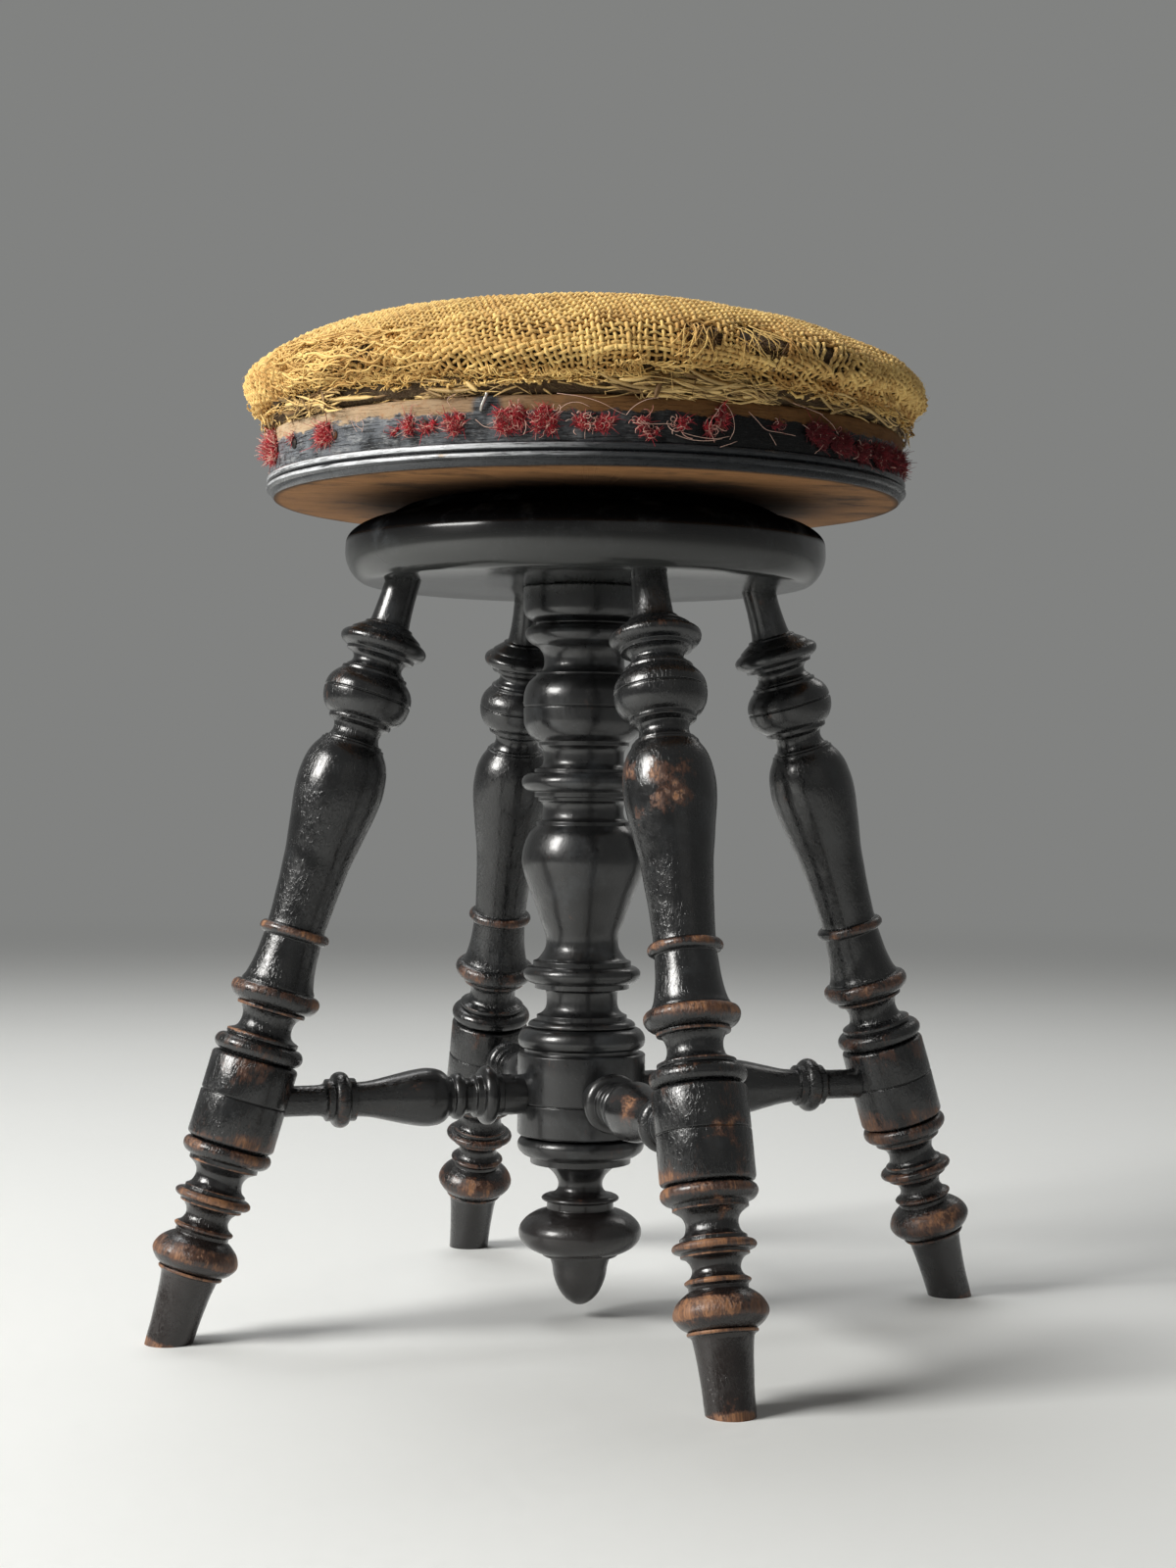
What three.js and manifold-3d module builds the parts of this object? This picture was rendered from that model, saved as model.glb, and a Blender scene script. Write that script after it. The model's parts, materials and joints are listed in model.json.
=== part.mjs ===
// A revolving piano stool: four turned, splayed legs and a turned centre column carry a round platform, and a
// hay-stuffed seat turns on an iron screw that raises and lowers it.
// Millimetres, +Z up. The origin is on the floor, on the screw's axis, and the legs stand along X and Y.
import * as THREE from "three";
import { mergeVertices } from "three/addons/utils/BufferGeometryUtils.js";
import Module from "manifold-3d";

const wasm = await Module();
wasm.setup();

// Fits
const clearance = 0.3; // between pieces that are joined or stand on each other
const threadClearance = 0.45; // between the screw and its nut, outwards from the axis
const cutOverrun = 2; // how far a cutting shape runs past what it cuts
const weldDistance = 0.0005; // corners nearer than this are one corner

// Facets
const legSides = 12;
const columnSides = 14;
const stretcherSides = 8;
const discSides = 32;
const threadSides = 14;
const screwSides = 8;
const tackSides = 6;
const cushionSides = 28;
const beadSteps = 3;
const curveSteps = 1;

// Platform, the round block that takes the legs, the column and the nut
const platformBase = 379.5; // underside above the floor
const platformThickness = 40;
const platformRadius = 124.3;
const platformTop = platformBase + platformThickness;

// Legs
const footCircleRadius = 213; // where the leg axes meet the floor
const legTopCircleRadius = 97.3; // where they meet the platform's underside
const legGirth = 22.4; // radius of a leg's fullest ball
const legTenonRadius = 8.6;
const legTenonLength = 24; // inside the platform
const legCount = 4;

// Centre column and the drop finial under it
const columnBase = 95.3;
const columnTop = platformBase - clearance;
const columnGirth = 33.1; // radius of the block that takes the stretchers
const columnSpigotRadius = 19.5;
const columnSpigotLength = 30;
const finialTip = 6.8;
const finialGirth = 32.9;
const finialSpigotRadius = 8;
const finialSpigotLength = 22;

// Stretchers, level from the column to the legs
const stretcherHeight = 117;
const stretcherGirth = 15; // radius of a stretcher's largest bead
const columnMortiseDepth = 15;
const legMortiseDepth = 17;

// Iron screw, its nut and the stop that keeps it in
const screwRadius = 11;
const threadDepth = 2.1;
const threadPitch = 25.4 / 3; // three turns to the inch
const raiseTurns = 12;
const lowerTurns = 0.2;
const seatRaise = raiseTurns * threadPitch;
const seatLower = lowerTurns * threadPitch;
const nutBarrelRadius = 15.4;
const nutLength = 54;
const nutFlangeRadius = 34;
const nutFlangeThickness = 4.5;
const nutScrewCircleRadius = 26.6;
const stopThickness = 4;
const stopRim = 1.6; // how much less than the nut's barrel the stop measures
const stopRoom = 1; // left between stop and nut when the seat is up
const stopScrewRadius = 4;
const stopScrewHeadRadius = 7.5;
const stopScrewHeadHeight = 4;
const stopScrewLength = 14;

// Seat board
const seatGap = 2.2; // board over platform with the seat down
const boardBase = platformTop + seatGap;
const boardThickness = 31.3;
const boardRadius = 165;
const boardTop = boardBase + boardThickness;

// Flange that holds the screw in the board
const seatFlangeRadius = 45;
const seatFlangeThickness = 4.5;
const seatHubRadius = 17;
const seatHubHeight = 24;
const seatHubRoof = 3;
const seatScrewCircleRadius = 33;
const crossPinRadius = 2;
const crossPinHeightShare = 0.6; // of the hub's height

// Wood screws in both flanges
const woodScrewHeadRadius = 4.6;
const woodScrewHeadHeight = 2.8;
const woodScrewShankRadius = 2.2;
const woodScrewLength = 20;
const woodScrewTip = 4;
const woodScrewSlotWidth = 1.1;
const woodScrewSlotDepth = 1.2;
const woodScrewCount = 4;

// Tacks round the board's band, which held the torn-off cover
const tackHeadRadius = 2.6;
const tackHeadHeight = 1.1;
const tackShankRadius = 0.9;
const tackLength = 9;
const tackTip = 3;
const tackHeightShare = 0.64; // of the board's thickness

// Stuffed seat
const cushionRadius = 176;
const cushionHeight = 67.5; // crown over the board's top
const clothThickness = 1.6;
const crownDroop = 7; // the crown leans down to one side by this much at its rim
const crownDroopTurnShare = -0.2; // direction of the droop, as a share of a turn from +X
const cushionWaves = [
  { count: 3, height: 1.1, phaseShare: 0.1 },
  { count: 5, height: 0.9, phaseShare: 0.62 },
  { count: 8, height: 0.6, phaseShare: 0.35 },
];

// The leg's turning from floor to platform, as shares of its length and of its girth. A row is the kind of stretch
// and where it ends: share of the length, share of the girth and, for a bead or hollow, the share that it reaches.
const legTurningShares = [
  ["line", 0.086, 0.63],
  ["line", 0.09, 0.71],
  ["bead", 0.136, 0.61, 0.955],
  ["line", 0.146, 0.68],
  ["bead", 0.177, 0.7, 0.48],
  ["bead", 0.192, 0.72, 0.87],
  ["bead", 0.23, 0.78, 0.52],
  ["bead", 0.256, 0.83, 1.02],
  ["line", 0.263, 0.982],
  ["line", 0.357, 0.982],
  ["line", 0.367, 0.83],
  ["bead", 0.39, 0.82, 1.03],
  ["line", 0.4, 0.63],
  ["bead", 0.431, 0.75, 0.56],
  ["bead", 0.459, 0.84, 1.03],
  ["curve", 0.48, 0.7],
  ["curve", 0.522, 0.647],
  ["bead", 0.539, 0.647, 0.82],
  ["curve", 0.6, 0.705],
  ["curve", 0.67, 0.87],
  ["curve", 0.722, 0.99],
  ["curve", 0.765, 0.83],
  ["curve", 0.796, 0.527],
  ["line", 0.81, 0.71],
  ["bead", 0.877, 0.65, 1.02],
  ["bead", 0.904, 0.86, 0.53],
  ["line", 0.915, 0.982],
  ["line", 0.939, 0.46],
];
const footRadiusShare = 0.51;
const legBlockRadiusShare = 0.982;

const columnTurningShares = [
  ["line", 0.01, 1],
  ["line", 0.144, 1],
  ["line", 0.153, 0.89],
  ["bead", 0.195, 0.86, 1],
  ["shoulder", 0.212, 0.73],
  ["bead", 0.267, 0.68, 0.56],
  ["line", 0.277, 0.745],
  ["bead", 0.309, 0.76, 0.93],
  ["line", 0.317, 0.76],
  ["curve", 0.331, 0.62],
  ["curve", 0.355, 0.565],
  ["curve", 0.4, 0.68],
  ["curve", 0.46, 0.885],
  ["curve", 0.505, 0.961],
  ["curve", 0.562, 0.76],
  ["line", 0.574, 0.66],
  ["line", 0.608, 0.65],
  ["line", 0.62, 0.767],
  ["bead", 0.661, 0.767, 0.98],
  ["line", 0.67, 0.644],
  ["line", 0.706, 0.644],
  ["line", 0.719, 0.74],
  ["bead", 0.839, 0.755, 0.985],
  ["bead", 0.889, 0.725, 0.62],
  ["bead", 0.93, 0.77, 0.95],
  ["line", 0.937, 0.795],
  ["line", 0.951, 0.955],
  ["line", 1, 0.961],
];
const columnFootRadiusShare = 0.97;

const finialTurningShares = [
  ["curve", 0.01, 0.09],
  ["curve", 0.063, 0.28],
  ["curve", 0.177, 0.416],
  ["curve", 0.289, 0.468],
  ["line", 0.293, 0.59],
  ["bead", 0.563, 0.54, 1],
  ["line", 0.586, 0.52],
  ["line", 0.612, 0.59],
  ["line", 0.65, 0.593],
  ["line", 0.653, 0.46],
  ["bead", 0.833, 0.61, 0.33],
  ["line", 0.836, 0.79],
  ["line", 0.868, 0.796],
  ["bead", 1, 0.89, 1.03],
];

const stretcherTurningShares = [
  ["line", 0.092, 0.69],
  ["line", 0.115, 0.733],
  ["bead", 0.178, 0.733, 1.02],
  ["line", 0.206, 0.61],
  ["line", 0.25, 0.6],
  ["bead", 0.305, 0.66, 0.81],
  ["curve", 0.368, 0.94],
  ["curve", 0.43, 0.98],
  ["curve", 0.557, 0.78],
  ["curve", 0.713, 0.573],
  ["line", 0.718, 0.725],
  ["line", 0.744, 0.727],
  ["bead", 0.811, 0.72, 0.95],
  ["line", 0.845, 0.53],
];
const stretcherBarrelShare = 0.69;
const stretcherEndShare = 0.52;

const platformTurningShares = [
  ["quarter", 0.36, 1],
  ["line", 0.525, 1],
  ["shoulder", 0.828, 0.861],
  ["line", 0.85, 0.825],
  ["line", 0.92, 0.786],
  ["shoulder", 1, 0.732],
];
const platformFlatShare = 0.9; // flat part of the underside

const boardTurningShares = [
  ["bead", 0.233, 0.984, 1.006],
  ["line", 0.335, 0.993],
  ["line", 0.348, 0.985],
  ["line", 0.744, 0.987],
  ["line", 1, 0.97],
];
const boardFlatShare = 0.982;

// The cloth's outer meridian from the crown's middle to its lip, as shares of the cushion's radius and height
const crownMeridianShares = [
  [0.26, 0.978],
  [0.5, 0.911],
  [0.7, 0.821],
  [0.775, 0.735],
  [0.87, 0.612],
  [0.955, 0.51],
  [0.99, 0.44],
  [1, 0.365],
  [0.985, 0.26],
  [0.96, 0.188],
];
// The stuffing that shows between the lip and the board, from the board upwards
const stuffingSkirtShares = [
  [0.905, 0],
  [0.935, 0.028],
  [0.962, 0.097],
  [0.955, 0.154],
  [0.93, 0.18],
];

// Where the tacks stand, as shares of a turn from +X
const coverTackTurnShares = [
  0.53, 0.567, 0.623, 0.641, 0.702, 0.76, 0.828, 0.866, 0.02, 0.2, 0.38,
];

const ebonised = { color: 0x17181a, roughness: 0.38, metalness: 0 };
const boardWood = { color: 0x2a2521, roughness: 0.5, metalness: 0 };
const castIron = { color: 0x3a3633, roughness: 0.6, metalness: 0.8 };
const steel = { color: 0x8b8780, roughness: 0.4, metalness: 1 };
const hay = { color: 0xb09049, roughness: 0.95, metalness: 0 };
const hessian = { color: 0xb98f4c, roughness: 0.95, metalness: 0 };

function triangleList(geometry) {
  const positionOnly = new THREE.BufferGeometry().setAttribute("position", geometry.getAttribute("position"));
  if (geometry.index) positionOnly.setIndex(geometry.index);
  const welded = mergeVertices(positionOnly, weldDistance);
  const corners = welded.index.array;
  const kept = [];
  for (let i = 0; i < corners.length; i += 3) {
    const [a, b, c] = corners.slice(i, i + 3);
    if (a !== b && b !== c && c !== a) kept.push(a, b, c);
  }
  return { vertProperties: welded.attributes.position.array, triVerts: new Uint32Array(kept) };
}

function solidOf(geometry) {
  return new wasm.Manifold(new wasm.Mesh({ numProp: 3, ...triangleList(geometry) }));
}

function geometryOf(solid) {
  const mesh = solid.getMesh();
  const geometry = new THREE.BufferGeometry();
  geometry.setAttribute("position", new THREE.BufferAttribute(new Float32Array(mesh.vertProperties), 3));
  geometry.setIndex([...mesh.triVerts]);
  return geometry;
}

function cut(blank, tools) {
  return geometryOf(tools.reduce((left, tool) => left.subtract(solidOf(tool)), solidOf(blank)));
}

function between(a, b, share) {
  return a + (b - a) * share;
}

// The points of one stretch of a turning, from one point to the next
function stretchPoints(kind, from, to, reach) {
  const points = [];
  for (let step = 1; step < beadSteps && kind !== "line"; step++) {
    const halfTurn = (Math.PI * step) / beadSteps;
    const quarterTurn = halfTurn / 2;
    const along = (1 - Math.cos(halfTurn)) / 2;
    const bulge = (reach - (from.x + to.x) / 2) * Math.sin(halfTurn);
    if (kind === "bead") {
      points.push(new THREE.Vector2(between(from.x, to.x, along) + bulge, between(from.y, to.y, along)));
    } else if (kind === "quarter") {
      const rise = 1 - Math.cos(quarterTurn);
      points.push(new THREE.Vector2(between(from.x, to.x, Math.sin(quarterTurn)), between(from.y, to.y, rise)));
    } else if (kind === "shoulder") {
      const fall = 1 - Math.cos(quarterTurn);
      points.push(new THREE.Vector2(between(from.x, to.x, fall), between(from.y, to.y, Math.sin(quarterTurn))));
    }
  }
  return [...points, to];
}

// A turned outline as Vector2(radius, height) points. Neighbouring curve rows make one smooth line.
function turnedOutline(shares, start, length, girth) {
  const points = [start];
  let smooth = [];
  const endCurve = () => {
    if (smooth.length === 0) return;
    const line = new THREE.SplineCurve([points.at(-1), ...smooth]);
    points.push(...line.getPoints(smooth.length * curveSteps).slice(1));
    smooth = [];
  };
  for (const [kind, lengthShare, radiusShare, reachShare = 0] of shares) {
    const to = new THREE.Vector2(radiusShare * girth, lengthShare * length);
    if (kind === "curve") {
      smooth.push(to);
      continue;
    }
    endCurve();
    points.push(...stretchPoints(kind, points.at(-1), to, reachShare * girth));
  }
  endCurve();
  return points;
}

// A solid turned about +Z from points on its outline, which start and end on the axis
function turned(points, sides) {
  return new THREE.LatheGeometry(points, sides).rotateX(Math.PI / 2);
}

function rod(radius, low, high, sides) {
  const at = (r, z) => new THREE.Vector2(r, z);
  return turned([at(0, low), at(radius, low), at(radius, high), at(0, high)], sides);
}

// A threaded rod with a right-hand V thread. Its two ridge lines, root and crest, climb one pitch in a turn.
function threadedRod(root, crest, low, high) {
  const ridges = [
    { radius: root, height: 0 },
    { radius: crest, height: threadPitch / 2 },
  ];
  const perTurn = ridges.length;
  const firstTurn = Math.floor(low / threadPitch) - 2;
  const turns = Math.ceil(high / threadPitch) + 2 - firstTurn;
  const lastRow = turns * perTurn;
  const rowLength = lastRow + 1;
  const positions = [];
  for (let side = 0; side < threadSides; side++) {
    const angle = (side / threadSides) * Math.PI * 2;
    for (let row = 0; row <= lastRow; row++) {
      const ridge = ridges[row % perTurn];
      const turn = firstTurn + Math.floor(row / perTurn) + side / threadSides;
      positions.push(ridge.radius * Math.cos(angle), ridge.radius * Math.sin(angle), turn * threadPitch + ridge.height);
    }
  }
  const corner = (side, row) => (side < threadSides ? side * rowLength + row : row + perTurn);
  const faces = [];
  for (let side = 0; side < threadSides; side++) {
    const wraps = side === threadSides - 1 ? perTurn : 0;
    for (let row = 0; row < lastRow - wraps; row++) {
      const [a, b] = [corner(side, row), corner(side + 1, row)];
      const [c, d] = [corner(side + 1, row + 1), corner(side, row + 1)];
      faces.push(a, b, c, a, c, d);
    }
  }
  const lastSide = threadSides - 1;
  const bottomLoop = [];
  for (let row = 0; row <= perTurn; row++) bottomLoop.push(corner(0, row));
  for (let side = lastSide; side > 0; side--) bottomLoop.push(corner(side, 0));
  const topLoop = [];
  for (let side = 0; side < threadSides; side++) topLoop.push(corner(side, lastRow));
  for (let row = lastRow - 1; row >= lastRow - perTurn; row--) topLoop.push(corner(lastSide, row));
  for (const [loop, turn] of [[bottomLoop, firstTurn], [topLoop, firstTurn + turns]]) {
    const middle = positions.length / 3;
    positions.push(0, 0, turn * threadPitch);
    loop.forEach((from, n) => faces.push(middle, from, loop[(n + 1) % loop.length]));
  }
  const helix = new THREE.BufferGeometry();
  helix.setAttribute("position", new THREE.Float32BufferAttribute(positions, 3));
  helix.setIndex(faces);
  return geometryOf(solidOf(helix).intersect(solidOf(rod(crest + cutOverrun, low, high, threadSides))));
}

// A closed skin round +Z whose meridian, from the axis below to the axis above, may differ at each side
function wavySkin(meridianAt, sides) {
  const positions = [];
  const rings = meridianAt(0).length;
  for (let ring = 0; ring < rings; ring++) {
    for (let side = 0; side < sides; side++) {
      const angle = (side / sides) * Math.PI * 2;
      const { x: radius, y: height } = meridianAt(angle)[ring];
      positions.push(radius * Math.cos(angle), radius * Math.sin(angle), height);
    }
  }
  const faces = [];
  const corner = (ring, side) => ring * sides + (side % sides);
  for (let ring = 0; ring < rings - 1; ring++) {
    for (let side = 0; side < sides; side++) {
      const [a, b] = [corner(ring, side), corner(ring, side + 1)];
      const [c, d] = [corner(ring + 1, side + 1), corner(ring + 1, side)];
      faces.push(a, b, c, a, c, d);
    }
  }
  const skin = new THREE.BufferGeometry();
  skin.setAttribute("position", new THREE.Float32BufferAttribute(positions, 3));
  skin.setIndex(faces);
  return geometryOf(solidOf(skin));
}

// A countersunk wood screw, head up at z = 0, or with grow the hole that takes it
function woodScrewBlank(grow) {
  const at = (r, z) => new THREE.Vector2(r, z);
  const point = -woodScrewLength - grow;
  const headTop = grow > 0 ? cutOverrun : 0;
  const shank = woodScrewShankRadius + grow;
  const head = woodScrewHeadRadius + grow;
  const outline = [
    at(0, point),
    at(shank, point + woodScrewTip),
    at(shank, -woodScrewHeadHeight - grow),
    at(head, 0),
    at(head, headTop),
    at(0, headTop),
  ];
  return turned(grow > 0 ? outline : outline.filter((_, n) => n !== 4), screwSides);
}

function woodScrew() {
  const across = 2 * woodScrewHeadRadius + cutOverrun;
  const slot = new THREE.BoxGeometry(across, woodScrewSlotWidth, 2 * woodScrewSlotDepth);
  return cut(woodScrewBlank(0), [slot]);
}

// A tack, head outwards along +Z with its seat at z = 0, or with grow the hole that takes its shank
function tack(grow) {
  const at = (r, z) => new THREE.Vector2(r, z);
  const shank = tackShankRadius + grow;
  const outline = [at(0, -tackLength - grow), at(shank, tackTip - tackLength)];
  if (grow > 0) return turned([...outline, at(shank, cutOverrun), at(0, cutOverrun)], tackSides);
  const rim = tackHeadHeight / 2;
  outline.push(at(shank, 0), at(tackHeadRadius, 0), at(tackHeadRadius - rim, rim), at(0, tackHeadHeight));
  return turned(outline, tackSides);
}

const stool = new THREE.Group();

function add(parent, name, geometry, finish) {
  const piece = new THREE.Mesh(geometry, new THREE.MeshStandardMaterial(finish));
  piece.name = name;
  parent.add(piece);
  return piece;
}

function turnAboutAxis(index, count) {
  return new THREE.Matrix4().makeRotationZ((index / count) * Math.PI * 2);
}

// Leg frame: its own +Z runs up the leg's axis from the floor, seen from the leg on +X
const legSplay = Math.atan2(footCircleRadius - legTopCircleRadius, platformBase);
const legLength = Math.hypot(footCircleRadius - legTopCircleRadius, platformBase);
const legFrame = new THREE.Matrix4()
  .makeTranslation(footCircleRadius, 0, 0)
  .multiply(new THREE.Matrix4().makeRotationY(-legSplay));

function legOutline(grow) {
  const at = (r, z) => new THREE.Vector2(r, z);
  const foot = footRadiusShare * legGirth;
  const underFloor = -cutOverrun - foot * Math.tan(legSplay);
  const turning = turnedOutline(legTurningShares, at(foot, underFloor), legLength, legGirth);
  const tenonStart = legLength - 2 * legTenonRadius;
  const tenonEnd = legLength + legTenonLength + grow;
  const neck = [at(legTenonRadius + grow, tenonStart), at(legTenonRadius + grow, tenonEnd), at(0, tenonEnd)];
  return grow > 0 ? [at(0, tenonStart), ...neck] : [at(0, underFloor), ...turning, ...neck];
}

function legSocketTool(index) {
  return turned(legOutline(clearance), legSides).applyMatrix4(legFrame).applyMatrix4(turnAboutAxis(index, legCount));
}

// The stretcher on +X, with its axis along +Z until it is laid down
const legAxisAtStretcher = footCircleRadius - stretcherHeight * Math.tan(legSplay);
const legBlockRadius = legBlockRadiusShare * legGirth;
const stretcherEnd = legAxisAtStretcher - legBlockRadius / Math.cos(legSplay);
const stretcherVisible = stretcherEnd - columnGirth;
const layDown = new THREE.Matrix4()
  .makeTranslation(0, 0, stretcherHeight)
  .multiply(new THREE.Matrix4().makeRotationY(Math.PI / 2));

function stretcherBlank() {
  const at = (r, z) => new THREE.Vector2(r, z);
  const barrel = stretcherBarrelShare * stretcherGirth;
  const end = stretcherEndShare * stretcherGirth;
  const inner = clearance - columnMortiseDepth;
  const outer = stretcherVisible + legMortiseDepth - clearance;
  const turning = turnedOutline(stretcherTurningShares, at(barrel, inner), stretcherVisible, stretcherGirth);
  return turned([at(0, inner), ...turning, at(end, outer), at(0, outer)], stretcherSides).translate(0, 0, columnGirth);
}

function columnMortiseTool(index) {
  const radius = stretcherBarrelShare * stretcherGirth + clearance;
  return rod(radius, columnGirth - columnMortiseDepth, columnGirth + cutOverrun, stretcherSides)
    .applyMatrix4(layDown)
    .applyMatrix4(turnAboutAxis(index, legCount));
}

function legMortiseTool() {
  const radius = stretcherEndShare * stretcherGirth + clearance;
  return rod(radius, stretcherEnd - legBlockRadius, stretcherEnd + legMortiseDepth, stretcherSides)
    .applyMatrix4(layDown)
    .applyMatrix4(legFrame.clone().invert());
}

function legGeometry() {
  const wide = 2 * (legGirth + cutOverrun);
  const floorTool = new THREE.BoxGeometry(wide, wide, wide)
    .translate(0, 0, -wide / 2)
    .applyMatrix4(new THREE.Matrix4().makeRotationY(legSplay));
  return cut(turned(legOutline(0), legSides), [floorTool, legMortiseTool()]);
}

function addLegsAndStretchers() {
  const names = ["right", "back", "left", "front"];
  const leg = legGeometry();
  const stretcher = stretcherBlank();
  names.forEach((name, index) => {
    const side = new THREE.Group();
    side.rotation.z = (index / legCount) * Math.PI * 2;
    stool.add(side);
    add(side, `leg_${name}`, leg, ebonised).applyMatrix4(legFrame);
    add(side, `stretcher_${name}`, stretcher, ebonised).applyMatrix4(layDown);
  });
}

// Heights along the screw, from the nut down
const nutTop = platformTop - clearance;
const nutBottom = nutTop - nutLength;
const stopTop = nutBottom - seatRaise - stopRoom;
const screwBottom = stopTop + clearance;
const stopBottom = stopTop - stopThickness;
const stopScrewHeadBottom = stopBottom - clearance - stopScrewHeadHeight;
const boreBottom = stopScrewHeadBottom - seatLower - cutOverrun;
const boreRadius = nutBarrelRadius + clearance;
const spigotTop = platformBase + columnSpigotLength;

function addPlatform() {
  const at = (r, z) => new THREE.Vector2(r, z);
  const flat = platformFlatShare * platformRadius;
  const turning = turnedOutline(platformTurningShares, at(flat, 0), platformThickness, platformRadius);
  const blank = turned([at(0, 0), ...turning, at(0, platformThickness)], discSides).translate(0, 0, platformBase);
  const spigotHole = columnSpigotRadius + clearance;
  const flangeSeat = nutTop - nutFlangeThickness - clearance;
  const tools = [
    rod(spigotHole, platformBase - cutOverrun, spigotTop + clearance, columnSides),
    rod(boreRadius, platformBase, platformTop + cutOverrun, columnSides),
    rod(nutFlangeRadius + clearance, flangeSeat, platformTop + cutOverrun, columnSides),
  ];
  for (let index = 0; index < legCount; index++) tools.push(legSocketTool(index));
  for (let index = 0; index < woodScrewCount; index++) {
    tools.push(woodScrewBlank(clearance).applyMatrix4(screwPlace(nutScrewCircleRadius, nutTop, index, false)));
  }
  add(stool, "platform", cut(blank, tools), ebonised);
}

function addColumn() {
  const at = (r, z) => new THREE.Vector2(r, z);
  const height = columnTop - columnBase;
  const foot = columnFootRadiusShare * columnGirth;
  const turning = turnedOutline(columnTurningShares, at(foot, 0), height, columnGirth);
  const spigot = spigotTop - columnBase;
  const outline = [at(0, 0), ...turning, at(columnSpigotRadius, height), at(columnSpigotRadius, spigot), at(0, spigot)];
  const tools = [
    rod(boreRadius, boreBottom, spigotTop + cutOverrun, columnSides),
    rod(finialSpigotRadius + clearance, columnBase - cutOverrun, columnBase + finialSpigotLength, columnSides),
  ];
  for (let index = 0; index < legCount; index++) tools.push(columnMortiseTool(index));
  add(stool, "column", cut(turned(outline, columnSides).translate(0, 0, columnBase), tools), ebonised);
}

function addFinial() {
  const at = (r, z) => new THREE.Vector2(r, z);
  const length = columnBase - clearance - finialTip;
  const turning = turnedOutline(finialTurningShares, at(0, 0), length, finialGirth);
  const spigot = length + finialSpigotLength;
  const outline = [...turning, at(finialSpigotRadius, length), at(finialSpigotRadius, spigot), at(0, spigot)];
  add(stool, "drop_finial", turned(outline, columnSides).translate(0, 0, finialTip), ebonised);
}

// Where one of a flange's wood screws stands, head up, or head down under the seat
function screwPlace(circleRadius, height, index, headDown) {
  const eighth = 0.5;
  return turnAboutAxis(index + eighth, woodScrewCount)
    .multiply(new THREE.Matrix4().makeTranslation(circleRadius, 0, height))
    .multiply(new THREE.Matrix4().makeRotationX(headDown ? Math.PI : 0));
}

function addFlangeScrews(name, circleRadius, height, headDown) {
  const screw = woodScrew();
  for (let index = 0; index < woodScrewCount; index++) {
    const place = screwPlace(circleRadius, height, index, headDown);
    add(stool, `${name}_${index + 1}`, screw, steel).applyMatrix4(place);
  }
}

function addNut() {
  const at = (r, z) => new THREE.Vector2(r, z);
  const flangeBottom = nutTop - nutFlangeThickness;
  const outline = [
    at(0, nutBottom),
    at(nutBarrelRadius, nutBottom),
    at(nutBarrelRadius, flangeBottom),
    at(nutFlangeRadius, flangeBottom),
    at(nutFlangeRadius, nutTop),
    at(0, nutTop),
  ];
  const root = screwRadius - threadDepth + threadClearance;
  const crest = screwRadius + threadClearance;
  const tools = [threadedRod(root, crest, nutBottom - cutOverrun, nutTop + cutOverrun)];
  for (let index = 0; index < woodScrewCount; index++) {
    tools.push(woodScrewBlank(clearance).applyMatrix4(screwPlace(nutScrewCircleRadius, nutTop, index, false)));
  }
  add(stool, "screw_nut", cut(turned(outline, columnSides), tools), castIron);
  addFlangeScrews("nut_screw", nutScrewCircleRadius, nutTop, false);
}

const crossPinHeight = boardBase + crossPinHeightShare * seatHubHeight;

function crossPin(radius, halfLength) {
  return rod(radius, -halfLength, halfLength, screwSides).rotateY(Math.PI / 2).translate(0, 0, crossPinHeight);
}

function addScrew() {
  const root = screwRadius - threadDepth;
  const shankTop = boardBase + seatHubHeight - seatHubRoof - clearance;
  const thread = threadedRod(root, screwRadius, screwBottom, boardBase);
  const shank = rod(root, boardBase - cutOverrun, shankTop, threadSides);
  const blank = geometryOf(solidOf(thread).add(solidOf(shank)));
  const endBore = rod(stopScrewRadius + clearance, screwBottom - cutOverrun, screwBottom + stopScrewLength, screwSides);
  const pinHole = crossPin(crossPinRadius + clearance, screwRadius + cutOverrun);
  add(stool, "spindle", cut(blank, [endBore, pinHole]), steel);
  add(stool, "spindle_pin", crossPin(crossPinRadius, seatHubRadius - clearance), steel);
}

function addStop() {
  const at = (r, z) => new THREE.Vector2(r, z);
  const stop = rod(nutBarrelRadius - stopRim, stopBottom, stopTop, columnSides);
  const hole = rod(stopScrewRadius + 2 * clearance, stopBottom - cutOverrun, stopTop + cutOverrun, columnSides);
  add(stool, "stop_washer", cut(stop, [hole]), castIron);
  const headTop = stopBottom - clearance;
  const shankTop = screwBottom + stopScrewLength - clearance;
  const outline = [
    at(0, stopScrewHeadBottom),
    at(stopScrewHeadRadius, stopScrewHeadBottom),
    at(stopScrewHeadRadius, headTop),
    at(stopScrewRadius, headTop),
    at(stopScrewRadius, shankTop),
    at(0, shankTop),
  ];
  add(stool, "stop_screw", turned(outline, screwSides), steel);
}

function tackPlace(turnShare) {
  const band = boardRadius * boardTurningShares.find(([, lengthShare]) => lengthShare > tackHeightShare)[2];
  return new THREE.Matrix4()
    .makeRotationZ(turnShare * Math.PI * 2)
    .multiply(new THREE.Matrix4().makeTranslation(band + clearance, 0, boardBase + tackHeightShare * boardThickness))
    .multiply(new THREE.Matrix4().makeRotationY(Math.PI / 2));
}

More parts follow.
